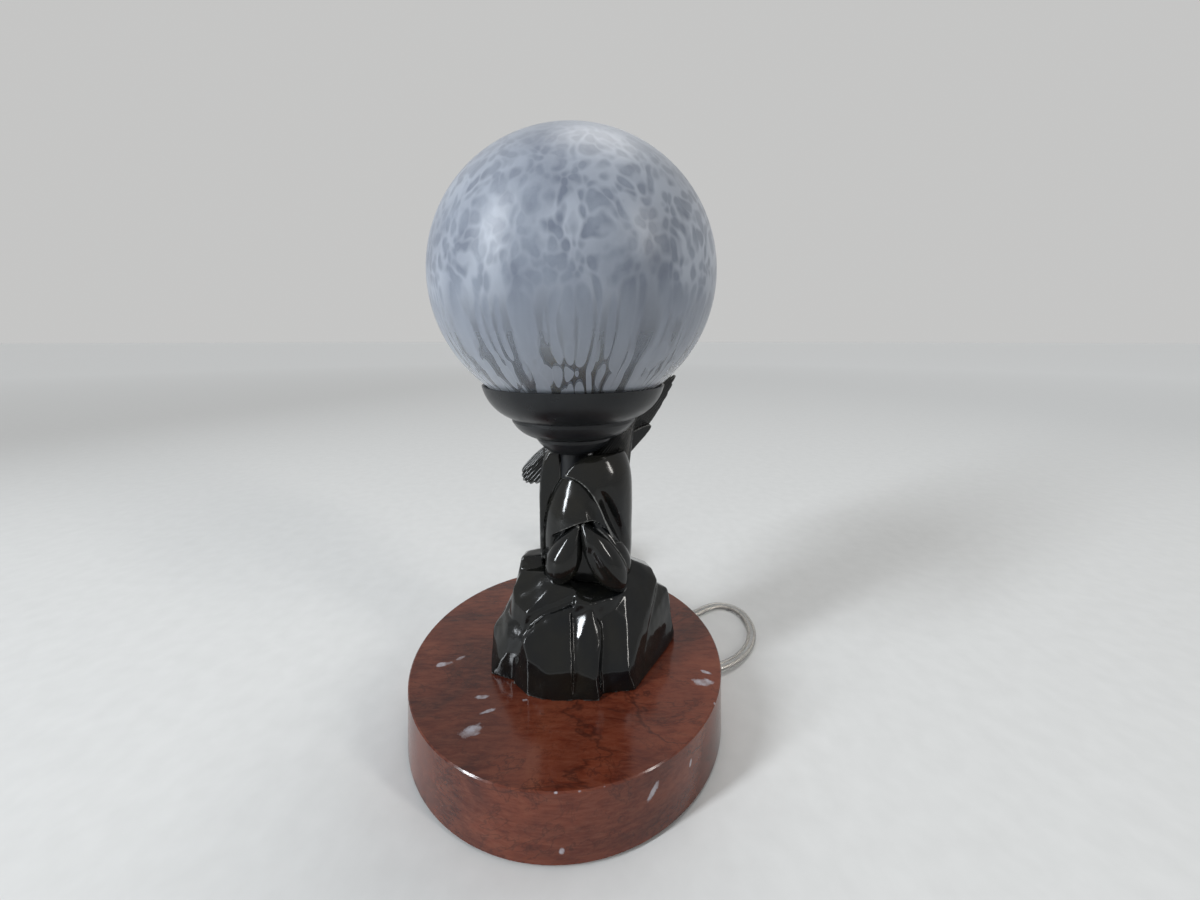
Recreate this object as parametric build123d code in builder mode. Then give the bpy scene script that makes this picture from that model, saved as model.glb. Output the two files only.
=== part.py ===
from build123d import *
from itertools import combinations
from math import atan2, cos, degrees, pi, radians, sin, sqrt, tan
import os

# Figural table lamp: a cast bird on a faceted rock, on a round marble base. A hollow rod
# runs from under the base to the three-step cup, and carries the lampholder, bulb and globe.
# Millimetres, +Z up. The origin is the centre of the base, on the table.

# ---------------------------------------------------------------- driving dimensions
CLEAR = 0.3                # between pieces that move apart, or that lie loosely on each other
SLIP = 0.15                # round a rod, nut or screw that passes through or screws on

BASE_R = 80.0              # marble disc
BASE_T = 26.5
FELT_T = 1.5
FELT_R = 76.0
RECESS_R = 23.0            # hollow under the marble for washer and nut
RECESS_D = 18.0
CHANNEL_W = 7.4            # groove for the flex, from the recess to the rim
CHANNEL_H = 5.0
GROMMET_L = 9.0
EXIT_ANGLE = 11.5          # where the flex leaves the rim, from +X towards +Y

ROD_X, ROD_Y = 3.1, 0.0    # axis of rod, cup, bulb and globe
ROD_R = 5.0                # M10 x 1 lamp tube
ROD_BORE_R = 3.6
NUT_AF = 17.0
NUT_T = 4.5
WASHER_T = 1.5
WASHER_R = 18.0

ROCK_HOLLOW_H = 18.0       # the casting is hollow below
ROCK_SCREW_R = 2.0
ROCK_SCREW_HEAD_R = 3.6
ROCK_SCREWS = [(-26, 14), (32, 14)]
ROCK_SCREW_GRIP = 14.0     # thread length inside the rock

BODY_TOP = 120.0
BODY_SKIN = 3.0            # thickness of the wing and fold castings
SPACER_R = 7.6

CUP_RIM_R, CUP_RIM_Z = 48.5, 169.5
CUP_STEP_1_R, CUP_STEP_1_Z = 33.0, 152.4
CUP_STEP_2_R, CUP_STEP_2_Z = 20.0, 142.0
CUP_HUB_R, CUP_HUB_Z = 12.0, 133.5
CUP_LIP = 1.6              # short upright band at each step
CUP_WALL = 1.0

GLOBE_R = 75.0
GLOBE_WALL = 2.5
GLOBE_NECK_R = 39.5
GLOBE_NECK_H = 7.0

HOLDER_R = 20.0            # outer radius of the brass shell
HOLDER_WALL = 1.0
HOLDER_CAP_H = 18.0
HOLDER_SHELL_H = 36.0
HOLDER_BOSS_R = 8.0
CERAMIC_R = 17.0
CERAMIC_H = 15.0
BULB_CAP_R = 13.1          # E27
BULB_CAP_H = 22.0
BULB_R = 30.0
BULB_GLASS_WALL = 0.8

FLEX_W = 5.6               # flat twin flex
FLEX_T = 2.8
FLEX_GAP = 0.98            # between neighbouring turns
LAYER_GAP = 0.5
COIL_LIFT = 1.0            # room for the tie under the coil
COIL_X, COIL_Y = 5.0, 146.0
COIL_R = 34.0              # centre line of the outermost turn
QUARTERS_PER_LAYER = 8     # quarter turns in a full layer
LAST_LAYER = 6
LAYERS = 4
TAIL_R = 22.0              # where the last turn meets the plug
TIE_W, TIE_T = 7.0, 0.7
TIE_ANGLE = -45.0

SWITCH_L, SWITCH_W, SWITCH_H = 54.0, 20.0, 12.5
SWITCH_WALL, SWITCH_CORNER = 1.6, 6.0
SWITCH_ANGLE = 70.0        # where it lies behind the base
SWITCH_GAP = 1.0           # between the switch and the rim of the base
ROCKER_TILT = 7.0
PLUG_L, PLUG_W, PLUG_T = 36.0, 35.3, 13.7
PIN_R, PIN_L, PIN_SPACING = 2.0, 19.0, 18.6

# Route of the flex on the table, chosen by hand: from the rim, round the loop at the right of
# the base and back behind it to the switch, then from the switch to the coil.
FIRST_RUN = 13.0           # straight out of the rim
SWITCH_RUN = 13.0          # straight into the switch
LOOP_POINTS = [
    (107, 32.5), (116, 47), (118.5, 62), (115.5, 75.5),
    (104, 82), (92, 77), (82.5, 69.3),
]
LINK_POINTS = [(-26, 116.5)]

os.makedirs("parts", exist_ok=True)


def save(piece, name):
    """Label a finished sub-part and write it."""
    piece.part.label = name
    export_step(piece.part, f"parts/{name}.step")


def polar(angle, radius):
    return Vector(radius * cos(radians(angle)), radius * sin(radians(angle)), 0)


base_bottom = FELT_T
base_top = base_bottom + BASE_T
recess_top = base_bottom + RECESS_D
rod_axis = Plane((ROD_X, ROD_Y, 0))
rod_line = Axis((ROD_X, ROD_Y, 0), (0, 0, 1))
# Profiles that are turned round the rod are drawn here: x is the radius, y the height.
rod_profile = Plane((ROD_X, ROD_Y, 0), x_dir=(1, 0, 0), z_dir=(0, -1, 0))


# ---------------------------------------------------------------- base
exit_way = polar(EXIT_ANGLE, 1)
exit_side = polar(EXIT_ANGLE + 90, 1)
exit_reach = sqrt(BASE_R**2 - (ROD_X * sin(radians(EXIT_ANGLE))) ** 2) - ROD_X * exit_way.X
flex_exit_z = base_bottom + FLEX_T / 2 + CLEAR
flex_exit = Vector(ROD_X, ROD_Y, flex_exit_z) + exit_way * exit_reach
channel_plane = Plane((ROD_X, ROD_Y, base_bottom), x_dir=exit_way, z_dir=(0, 0, 1))

with BuildPart() as marble_base:
    with BuildSketch(Plane.XY.offset(base_bottom)):
        Circle(BASE_R)
    extrude(amount=BASE_T)
    chamfer(marble_base.edges().filter_by(GeomType.CIRCLE).group_by(Axis.Z)[-1], 0.5)
    with BuildSketch(rod_axis.offset(base_bottom)):
        Circle(RECESS_R)
    extrude(amount=RECESS_D, mode=Mode.SUBTRACT)
    with BuildSketch(channel_plane):
        with Locations((BASE_R / 2 + RECESS_R / 2, 0)):
            Rectangle(BASE_R, CHANNEL_W)
    extrude(amount=CHANNEL_H, mode=Mode.SUBTRACT)
    with BuildSketch(rod_axis.offset(recess_top)):
        Circle(ROD_R + SLIP)
    extrude(amount=BASE_T, mode=Mode.SUBTRACT)
    with Locations(*[(x, y, base_bottom) for x, y in ROCK_SCREWS]):
        Cylinder(ROCK_SCREW_R + SLIP, BASE_T * 2, mode=Mode.SUBTRACT)
        Cylinder(ROCK_SCREW_HEAD_R + 1, RECESS_D * 2, mode=Mode.SUBTRACT)
save(marble_base, "marble_base")

with BuildPart() as felt_pad:
    with BuildSketch():
        Circle(FELT_R)
    extrude(amount=FELT_T)
save(felt_pad, "felt_pad")

grommet_plane = Plane(
    Vector(ROD_X, ROD_Y, base_bottom) + exit_way * (exit_reach - GROMMET_L),
    x_dir=exit_side, z_dir=exit_way)
with BuildPart() as flex_grommet:
    with BuildSketch(grommet_plane):
        with Locations((0, CHANNEL_H / 2)):
            Rectangle(CHANNEL_W, CHANNEL_H)
        with Locations((0, flex_exit_z - base_bottom)):
            SlotOverall(FLEX_W + 2 * SLIP, FLEX_T + 2 * SLIP, mode=Mode.SUBTRACT)
    extrude(amount=GROMMET_L - 1)
save(flex_grommet, "flex_grommet")

# ---------------------------------------------------------------- lamp tube, nuts and washers
rod_bottom = recess_top - WASHER_T - NUT_T - 1.0
cup_floor = CUP_HUB_Z + CUP_WALL
cup_nut_z = cup_floor + WASHER_T
holder_z = cup_nut_z + NUT_T + 0.5
rod_top = holder_z + 8.0

with BuildPart() as lamp_tube:
    with BuildSketch(rod_axis.offset(rod_bottom)):
        Circle(ROD_R)
        Circle(ROD_BORE_R, mode=Mode.SUBTRACT)
    extrude(amount=rod_top - rod_bottom)
save(lamp_tube, "lamp_tube")


def washer(z, radius):
    with BuildPart() as ring:
        with BuildSketch(rod_axis.offset(z)):
            Circle(radius)
            Circle(ROD_R + SLIP, mode=Mode.SUBTRACT)
        extrude(amount=WASHER_T)
    return ring


def hex_nut(z):
    with BuildPart() as nut:
        with BuildSketch(rod_axis.offset(z)):
            RegularPolygon(NUT_AF / 2, 6, major_radius=False)
            Circle(ROD_R + SLIP / 2, mode=Mode.SUBTRACT)
        extrude(amount=NUT_T)
    return nut


save(washer(recess_top - WASHER_T, WASHER_R), "base_washer")
save(hex_nut(recess_top - WASHER_T - NUT_T), "base_nut")
save(washer(cup_floor, CUP_HUB_R - CUP_WALL - 0.5), "cup_washer")
save(hex_nut(cup_nut_z), "cup_nut")

with BuildPart() as rock_screws:
    for x, y in ROCK_SCREWS:
        with BuildSketch(Plane((x, y, recess_top - 3))):
            Circle(ROCK_SCREW_HEAD_R)
        extrude(amount=3)
        with BuildSketch(Plane((x, y, recess_top))):
            Circle(ROCK_SCREW_R)
        extrude(amount=base_top - recess_top + ROCK_SCREW_GRIP)
save(rock_screws, "rock_screws")


# ---------------------------------------------------------------- faceted rock
def convex_block(corners, footprint):
    """The convex solid with these corners, and a footprint on the marble. Every plane through
    three corners that leaves all the others on one side is a face of it."""
    points = [Vector(*p) for p in corners] + [Vector(x, y, base_top) for x, y in footprint]
    facets = {}
    for a, b, c in combinations(points, 3):
        normal = (b - a).cross(c - a)
        if normal.length < 1e-6:
            continue
        normal = normal.normalized()
        sides = [(p - a).dot(normal) for p in points]
        if max(sides) > 1e-4:
            normal, sides = -normal, [-side for side in sides]
        if max(sides) <= 1e-4:
            facets[tuple(i for i, side in enumerate(sides) if side > -1e-4)] = normal
    faces = []
    for touching, normal in facets.items():
        rim = [points[i] for i in touching]
        middle = sum(rim, Vector(0, 0, 0)) * (1 / len(rim))
        start = (rim[0] - middle).normalized()
        across = normal.cross(start)
        rim.sort(key=lambda p: atan2((p - middle).dot(across), (p - middle).dot(start)))
        faces.append(Face(Wire.make_polygon(rim, close=True)))
    return Solid(Shell(faces))


# The blocks that make up the rock: their upper corners, and their footprint on the marble.
CRAGS = {
    "middle": ([(-14, -10, 66), (28, -10, 66), (34, 18, 66), (6, 32, 58), (-18, 26, 60)],
               [(-30, -12), (30, -14), (44, 4), (46, 30), (10, 42), (-22, 36), (-34, 14)]),
    "front_left": ([(-6.5, -38, 40), (4.5, -38.5, 42), (-19.5, -30, 51), (-17, -34, 44.5),
                    (-16.5, -26, 53), (-10.5, -25, 58), (3, -24, 62.5), (-12, -12, 58), (4.5, -12, 62.5)],
                   [(-24, -28.5), (-16.5, -35.5), (-5, -38.6), (4.5, -39), (4.5, -12), (-22, -12)]),
    "front_right": ([(4.5, -36, 41), (4.5, -22, 61), (13, -25, 63), (18, -28, 53), (16.5, -37, 38.5),
                     (14.5, -38.4, 38), (4.5, -12, 61), (16, -12, 62)],
                    [(4.5, -38), (15, -39), (17, -38.5), (19, -34), (19, -12), (4.5, -12)]),
    "ledge": ([(4.5, -19, 68), (30.5, -14, 64.5), (4.5, -24, 64.5), (13, -25.5, 64.5), (23, -21, 65),
               (6, 2, 68), (28, 2, 66)],
              [(4.5, -24), (16, -25), (34, -14), (30, 4), (4.5, 4)]),
    "left_shoulder": ([(-11.5, -12, 73), (-4.5, -17, 71.5), (4.5, -19.5, 69), (-24.5, -6, 71),
                       (-27.5, -12, 65.5), (-26, -17, 61), (-18.5, -24, 59.5), (3, -21, 67),
                       (-12, 4, 73), (-24, 4, 71), (2, 4, 69)],
                      [(-34, -12), (-28, -22), (-10, -24), (4.5, -21.5), (4.5, 4), (-30, 6)]),
    "upper_left": ([(-24.5, -4, 77), (-13, -4, 78.5), (-25.5, -5, 70.5), (-12.5, -6, 71.5),
                    (-22, 4, 77), (-15, 4, 78.5), (-26, 18, 70), (-12, 20, 72)],
                   [(-36, -4), (-12, -6.5), (-12, 24), (-34, 24)]),
    "ramp": ([(19, -33, 37), (30.5, -33, 38.5), (33.5, -29, 39.5), (30.5, -14, 64.5), (43.5, -6, 60),
              (48, 0, 63), (46, 6, 66.5), (34, 3, 73), (44, 22, 62), (30, 22, 68), (17.5, -21, 61)],
             [(18, -34.5), (34, -32.5), (37, -24), (50, 20), (20, 20), (16, -12)]),
    "right": ([(48.5, 4, 59), (55, 8, 54), (56.5, 10, 43), (58, 4, 32.5), (33.5, -29, 39.5),
               (34, -31.5, 30), (46, 26, 50), (36, 20, 60)],
              [(34, -32), (53, -3.5), (58.5, 6), (54, 26), (34, 30), (30, 0)]),
    "left_foot": ([(-32.5, -8, 52), (-38, -10, 44.5), (-28.5, -19, 51.5), (-19, -24, 53.5),
                   (-21.5, -27, 40), (-29, -24, 40), (-37.5, -18, 31.5), (-30, 10, 54), (-18, 0, 56)],
                  [(-36.5, -22), (-27, -25.5), (-20, -27.5), (-16, 0), (-24, 14), (-38, 14), (-40, -6)]),
    "toe": ([(-24, -27, 38), (-19.5, -30, 39), (-7.5, -38, 36), (-10, -26, 40)],
            [(-24.5, -28), (-16.5, -35.6), (-8, -38.6), (-8, -24), (-22, -20)]),
    "back_left": ([(-26, 24, 56), (-10, 30, 54), (-12, 42, 46), (-28, 36, 44)],
                  [(-30, 18), (-6, 28), (-4, 47), (-24, 45), (-38, 32)]),
    "back_right": ([(14, 34, 52), (36, 26, 54), (40, 36, 42), (18, 44, 40)],
                   [(6, 34), (36, 24), (50, 32), (34, 48), (10, 50)]),
}

with BuildPart() as rock_casting:
    for corners, footprint in CRAGS.values():
        add(convex_block(corners, footprint))
    with BuildSketch(rod_axis.offset(base_top)):
        Circle(RECESS_R)
    extrude(amount=ROCK_HOLLOW_H, taper=18, mode=Mode.SUBTRACT)
    with BuildSketch(rod_axis.offset(base_top)):
        Circle(ROD_R + SLIP)
    extrude(amount=BODY_TOP, mode=Mode.SUBTRACT)
    with Locations(*[(x, y, base_top) for x, y in ROCK_SCREWS]):
        Cylinder(ROCK_SCREW_R + SLIP / 2, 2 * ROCK_SCREW_GRIP + 1, mode=Mode.SUBTRACT)
save(rock_casting, "rock_casting")

# ---------------------------------------------------------------- cup
# Steps of the spun cup from the rim down: outer edge, a point on the curve, inner edge.
CUP_STEPS = [
    [(CUP_RIM_R, CUP_RIM_Z), (42.3, 158.3), (CUP_STEP_1_R, CUP_STEP_1_Z)],
    [(CUP_STEP_1_R, CUP_STEP_1_Z - CUP_LIP), (28.8, 145.7), (CUP_STEP_2_R, CUP_STEP_2_Z)],
    [(CUP_STEP_2_R, CUP_STEP_2_Z - CUP_LIP), (17.2, 137), (CUP_HUB_R, CUP_HUB_Z)],
]


def cup_solid(inset):
    """The cup as a filled bowl, with its outside moved in and up by the inset."""
    steps = [[(r - inset, z + inset) for r, z in step] for step in CUP_STEPS]
    with BuildPart(mode=Mode.PRIVATE) as bowl:
        with BuildSketch(rod_profile):
            with BuildLine():
                for step, following in zip(steps, steps[1:] + [None]):
                    ThreePointArc(*step)
                    if following:
                        Line(step[-1], following[0])
                top = (0, steps[0][0][1])
                Polyline(steps[-1][-1], (0, steps[-1][-1][1]), top, steps[0][0])
            make_face()
        revolve(axis=rod_line)
    return bowl.part


with BuildPart() as cup:
    add(cup_solid(0))
    add(cup_solid(CUP_WALL), mode=Mode.SUBTRACT)
    with BuildSketch(rod_axis.offset(CUP_HUB_Z - 1)):
        Circle(CUP_RIM_R + 5)
    extrude(amount=CUP_RIM_Z + 5 - CUP_HUB_Z, mode=Mode.INTERSECT)
    with BuildSketch(rod_axis):
        Circle(ROD_R + SLIP)
    extrude(amount=2 * CUP_HUB_Z, mode=Mode.SUBTRACT)
    split(bisect_by=Plane.XY.offset(CUP_RIM_Z), keep=Keep.BOTTOM)
save(cup, "cup")

# ---------------------------------------------------------------- bird
# Sections of an upright oval form: height, centre x and y, half width and half depth.
BODY_SECTIONS = [
    (48, 9.5, 1, 20, 17), (72, 9.5, 1, 22, 18.5), (88, 9.5, 1, 22.8, 19), (104, 9.5, 1.5, 21.3, 18),
    (114, 9, 2, 17.5, 15), (BODY_TOP, 8, 2, 13, 12)]
# The wings fold on this form.
FLANK_SECTIONS = [
    (70, 9.5, 1, 23.6, 20), (88, 9.5, 1, 24.6, 21), (108, 9.5, 1, 24.9, 21), (122, 9.5, 1, 24.2, 19.5),
    (CUP_HUB_Z - CLEAR, 9.5, 2, 20.5, 15)]
# Hollow of the breast beside the right wing, and the flute in that wing: height, centre, radius.
HOLLOW = [(76, 33, -14.5, 3.5), (88, 27, -19.5, 6.5), (100, 19, -24, 10), (112, 12.5, -25.5, 11.5),
          (124, 5, -25, 11)]
FLUTE = [(74, 34.6, -7, 2), (82, 34, -11.2, 3.6), (97, 29, -18.4, 6.4), (112, 21.5, -23.4, 7.6),
         (120, 18, -26.8, 8), (128, 14, -31, 8.5)]
TAIL_ARCH = [(-13.5, 82), (-9.5, 90), (-1, 96.4), (6.5, 99.8), (13.5, 100.8), (21, 93), (29.4, 78)]
TAIL_DEPTH = 7.0           # how far the body is cut back above the tail


def oval_loft(sections):
    with BuildPart() as form:
        for z, x, y, half_w, half_d in sections:
            with BuildSketch(Plane((x, y, z))):
                Ellipse(half_w, half_d)
        loft()
    return form.part


def round_loft(stations):
    return oval_loft([(z, x, y, r, r) for z, x, y, r in stations])


with BuildPart() as bird_body:
    add(oval_loft(BODY_SECTIONS))
    add(round_loft(HOLLOW), mode=Mode.SUBTRACT)
    with BuildSketch(Plane.XZ.offset(BODY_SECTIONS[2][4] - BODY_SECTIONS[2][2] - TAIL_DEPTH)):
        with BuildLine():
            Spline(*TAIL_ARCH)
            Polyline(TAIL_ARCH[-1], (40, 78), (40, 50), (-40, 50), (-40, 82), TAIL_ARCH[0])
        make_face()
    extrude(amount=40, mode=Mode.SUBTRACT)
    with BuildSketch(rod_axis):
        Circle(ROD_R + SLIP)
    extrude(amount=2 * BODY_TOP, mode=Mode.SUBTRACT)
    add(rock_casting.part, mode=Mode.SUBTRACT)
save(bird_body, "bird_body")

with BuildPart() as spacer_tube:
    with BuildSketch(rod_axis.offset(BODY_TOP)):
        Circle(SPACER_R)
        Circle(ROD_R + SLIP, mode=Mode.SUBTRACT)
    extrude(amount=CUP_HUB_Z - BODY_TOP)
save(spacer_tube, "spacer_tube")


def main_solid(builder):
    """Keep only the largest solid, when a cut has left crumbs."""
    with BuildPart() as kept:
        add(builder.part.solids().sort_by(SortBy.VOLUME)[-1])
    return kept


def feathered_wing(plane, feathers, width, step, covert, thickness=2.0, root=()):
    """Long feathers, each lying a step lower than the one before, under a smooth covert.
    A feather is its root and tip on the wing's own plane, and the covert is an outline there.
    The root is a form that the wing grows out of."""
    with BuildPart() as wing:
        for i, (start, tip) in enumerate(feathers):
            way = Vector(*tip) - Vector(*start)
            middle = (Vector(*tip) + Vector(*start)) * 0.5
            with BuildSketch(plane.offset(-i * step)):
                with Locations(Location((middle.X, middle.Y), degrees(atan2(way.Y, way.X)))):
                    Ellipse(way.length / 2, width / 2)
            extrude(amount=thickness)
        with BuildSketch(plane.offset(-step * (len(feathers) - 1))):
            with BuildLine():
                Spline(*covert, periodic=True)
            make_face()
        extrude(amount=thickness + step * len(feathers))
        for form in root:
            add(form)
        for neighbour in (bird_body.part, spacer_tube.part, cup_solid(-CLEAR)):
            add(neighbour, mode=Mode.SUBTRACT)
    return main_solid(wing)


# On each wing's plane x runs along the feathers. Front faces look towards the tail.
RIGHT_SHOULDER = Vector(24, 17, 118)
right_plane = Plane(RIGHT_SHOULDER, x_dir=(0.66, 0.16, 0.73), z_dir=Vector(0.35, -0.93, -0.11))
right_feathers = [((5, 10.4), (58, 14)), ((5, 8.6), (64, 11.4)), ((5, 6.8), (66, 8.4)),
                  ((4, 5.4), (61, 6.2)), ((3, 4), (55.5, 4.3)), ((2, 2.6), (49, 2.6)), ((1, 1.2), (44, 1.6))]
right_covert = [(-6, 5), (2, 0.6), (18, -0.8), (34, 0.6), (26, 6), (14, 9.5), (0, 10)]
RIGHT_ROOT = [(112, 21.5, 8, 11, 7), (126, 22.8, 9, 11.2, 6), (138, 25.6, 13, 10.4, 5.5),
              (150, 32.5, 20, 7.5, 4)]
LEFT_SHOULDER = Vector(-9, 9, 131)
left_plane = Plane(LEFT_SHOULDER, x_dir=(-0.66, 0, -0.75), z_dir=Vector(-0.2, -0.96, 0.18))
left_feathers = [((-1.5, -3.2), (20.5, -5.2)), ((-1.5, -2.2), (22.6, -3.4)), ((-1.5, -1.2), (23.8, -1.5)),
                 ((-1.5, -0.2), (23.8, 0.5)), ((-1.5, 0.8), (22.8, 2.6)), ((-1.5, 1.8), (20.4, 4.9))]
left_covert = [(-2.5, -3), (2, -4), (5, -1), (5, 4), (2, 6), (-1, 4)]

right_wing_raised = feathered_wing(
    right_plane, right_feathers, 4.4, 0.55, right_covert, root=[oval_loft(RIGHT_ROOT)])
left_wing_fan = feathered_wing(left_plane, left_feathers, 4.2, 0.45, left_covert)
save(right_wing_raised, "right_wing_raised")
save(left_wing_fan, "left_wing_fan")


def folded_skin(front_edge, back_edge, cuts=(), reach=40, filled=False):
    """A folded wing: the part of the flank's shell inside an outline seen from the tail,
    and inside a plainer one on the far side. Outlines are splines closed by straight lines."""
    with BuildPart() as skin:
        for outline, depth in ((front_edge, reach), (back_edge, -40)):
            with BuildSketch(Plane.XZ):
                with BuildLine():
                    for run in outline:
                        Spline(*run) if len(run) > 2 else Line(*run)
                make_face()
            extrude(amount=depth)
        add(oval_loft(FLANK_SECTIONS), mode=Mode.INTERSECT)
        if not filled:
            add(oval_loft([(z, x, y, w - BODY_SKIN, d - BODY_SKIN)
                           for z, x, y, w, d in FLANK_SECTIONS]), mode=Mode.SUBTRACT)
        for form in cuts:
            add(form, mode=Mode.SUBTRACT)
        for neighbour in (bird_body, rock_casting, spacer_tube, right_wing_raised, left_wing_fan):
            add(neighbour.part, mode=Mode.SUBTRACT)
    return main_solid(skin)


right_wing_folded = folded_skin(
    [[(-0.4, 124), (4.6, 129.8), (11.5, 133), (21.5, 134.4)], [(21.5, 134.4), (40, 134.4)],
     [(40, 134.4), (40, 76)], [(40, 76), (32, 76)],
     [(32, 76), (29.8, 81.5), (25.6, 89.5), (21.5, 97.6), (17.2, 107.6), (12.9, 116), (7.4, 121.3),
      (-0.4, 124)]],
    [[(40, 132), (30, 134), (16, 122), (10, 100), (16, 78)], [(16, 78), (40, 76)],
     [(40, 76), (40, 132)]], cuts=[round_loft(FLUTE)])
save(right_wing_folded, "right_wing_folded")

left_wing_folded = folded_skin(
    [[(-6.5, 136), (-4.2, 129), (-3.8, 123), (-4.2, 117), (-6, 108), (-7, 92), (-8, 76)],
     [(-8, 76), (-22, 76)], [(-22, 76), (-22, 136)], [(-22, 136), (-6.5, 136)]],
    [[(-22, 130), (-4, 132), (4, 112), (2, 92), (-8, 76)], [(-8, 76), (-22, 76)],
     [(-22, 76), (-22, 130)]], reach=4, filled=True)
save(left_wing_folded, "left_wing_folded")

LOBE_END_R = 0.8


def tail_lobe(tip, root, half_width, widest, neighbours):
    """A smooth drop lying on the front of the body, between two points, widest at a part of
    its length from the tip."""
    way = Vector(*root) - Vector(*tip)
    side = way.cross(Vector(0, 1, 0))
    with BuildPart() as lobe:
        with BuildSketch(Plane(tip, x_dir=side, z_dir=side.cross(way))):
            with BuildLine():
                Line((0, 0), (LOBE_END_R, 0))
                Spline((LOBE_END_R, 0), (half_width * 0.74, way.length * widest * 0.36),
                       (half_width, way.length * widest), (half_width * 0.6, way.length * (widest + 0.4)),
                       (LOBE_END_R, way.length))
                Polyline((LOBE_END_R, way.length), (0, way.length), (0, 0))
            make_face()
        revolve(axis=Axis(tip, way))
        for neighbour in neighbours:
            add(neighbour.part, mode=Mode.SUBTRACT)
    return main_solid(lobe)


seats = [bird_body, rock_casting, right_wing_folded, left_wing_folded]
tail_lobe_right = tail_lobe((29.2, -14.5, 65.2), (8.4, -15.5, 99.4), 8.3, 0.43, seats)
save(tail_lobe_right, "tail_lobe_right")
tail_lobe_left = tail_lobe((-6.2, -14.5, 69.5), (6.2, -15, 98.5), 8.6, 0.36, seats + [tail_lobe_right])
save(tail_lobe_left, "tail_lobe_left")
tail_blade = tail_lobe((32, -9.5, 71.5), (14, -12.5, 101), 6.2, 0.42,
                       seats + [tail_lobe_right, tail_lobe_left])
save(tail_blade, "tail_blade")


# Neck and head, on the far side: sections along the neck, then a beak.
NECK = [((9, 14, 100), (0, 0.85, 0.5), 10), ((9, 28, 110), (0, 0.95, 0.3), 8.5),
        ((9, 39, 114), (0, 1, 0), 7.5), ((9, 48, 113), (0, 1, -0.2), 8.6),
        ((9, 55, 111), (0, 1, -0.25), 5.5)]
with BuildPart() as bird_head:
    for centre, way, radius in NECK:
        with BuildSketch(Plane(centre, x_dir=(1, 0, 0), z_dir=way)):
            Ellipse(radius * 0.85, radius)
    loft()
    with BuildSketch(Plane(NECK[-1][0], x_dir=(1, 0, 0), z_dir=NECK[-1][1])):
        Ellipse(NECK[-1][2] * 0.85, NECK[-1][2])
    with BuildSketch(Plane((9, 74, 104), x_dir=(1, 0, 0), z_dir=(0, 1, -0.35))):
        Ellipse(0.8, 1.2)
    loft()
    for neighbour in (bird_body, right_wing_folded, left_wing_folded, right_wing_raised):
        add(neighbour.part, mode=Mode.SUBTRACT)
save(main_solid(bird_head), "bird_head")

# ---------------------------------------------------------------- turned pieces
def turned(*profiles):
    """Turn closed half sections round the rod. Each is a list of (radius, height)."""
    with BuildPart() as piece:
        with BuildSketch(rod_profile):
            for profile in profiles:
                with BuildLine():
                    Polyline(*profile, close=True)
                make_face()
        revolve(axis=rod_line)
    return piece


# ---------------------------------------------------------------- lampholder
cap_floor = holder_z + 14.0        # ledge for the ceramic
bead_z = cap_floor + 4.0           # the shell stands on this bead
cap_r = HOLDER_R - HOLDER_WALL - SLIP
ceramic_top = cap_floor + CERAMIC_H
cone_in = ROD_R + SLIP / 2

holder_cap = turned([
    (cone_in, holder_z), (HOLDER_BOSS_R, holder_z), (HOLDER_BOSS_R, holder_z + 5),
    (cap_r, cap_floor - 2), (cap_r, bead_z - 1.5), (HOLDER_R, bead_z - 1.5), (HOLDER_R, bead_z),
    (cap_r, bead_z), (cap_r, bead_z + 6), (cap_r - HOLDER_WALL, bead_z + 6),
    (cap_r - HOLDER_WALL, cap_floor), (CERAMIC_R - 1, cap_floor), (cone_in, holder_z + 7)])
save(holder_cap, "holder_cap")

shell_top = bead_z + HOLDER_SHELL_H
save(turned([
    (HOLDER_R - HOLDER_WALL, bead_z), (HOLDER_R, bead_z), (HOLDER_R, shell_top - 2),
    (HOLDER_R + 1.2, shell_top - 1.2), (HOLDER_R + 1.2, shell_top),
    (HOLDER_R - HOLDER_WALL - 2.5, shell_top), (HOLDER_R - HOLDER_WALL - 2.5, shell_top - 1),
    (HOLDER_R - HOLDER_WALL, shell_top - 1)]), "holder_shell")

TERMINAL_OUT = 9.5
TERMINAL_R = 2.6
terminals = [Vector(ROD_X, ROD_Y, cap_floor) + exit_side * (k * TERMINAL_OUT) for k in (1, -1)]
with BuildPart() as ceramic_insert:
    with BuildSketch(rod_axis.offset(cap_floor)):
        Circle(CERAMIC_R)
    extrude(amount=CERAMIC_H)
    chamfer(ceramic_insert.edges().group_by(Axis.Z)[-1], 1.0)
    with Locations(*terminals):
        Cylinder(1.5 + SLIP / 2, 16, mode=Mode.SUBTRACT)
save(ceramic_insert, "ceramic_insert")

with BuildPart() as terminal_screws:
    for spot in terminals:
        with BuildSketch(Plane(spot)):
            Circle(TERMINAL_R)
        extrude(amount=-2)
        with BuildSketch(Plane(spot)):
            Circle(1.5)
        extrude(amount=7.5)
save(terminal_screws, "terminal_screws")

liner_r = BULB_CAP_R + CLEAR
save(turned([(liner_r, ceramic_top), (liner_r + 0.8, ceramic_top),
             (liner_r + 0.8, ceramic_top + 22), (liner_r, ceramic_top + 22)]), "screw_liner")
save(turned([(0, ceramic_top), (5, ceramic_top), (5, ceramic_top + 0.6), (3, ceramic_top + 2),
             (0, ceramic_top + 2)]), "centre_contact")

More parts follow.
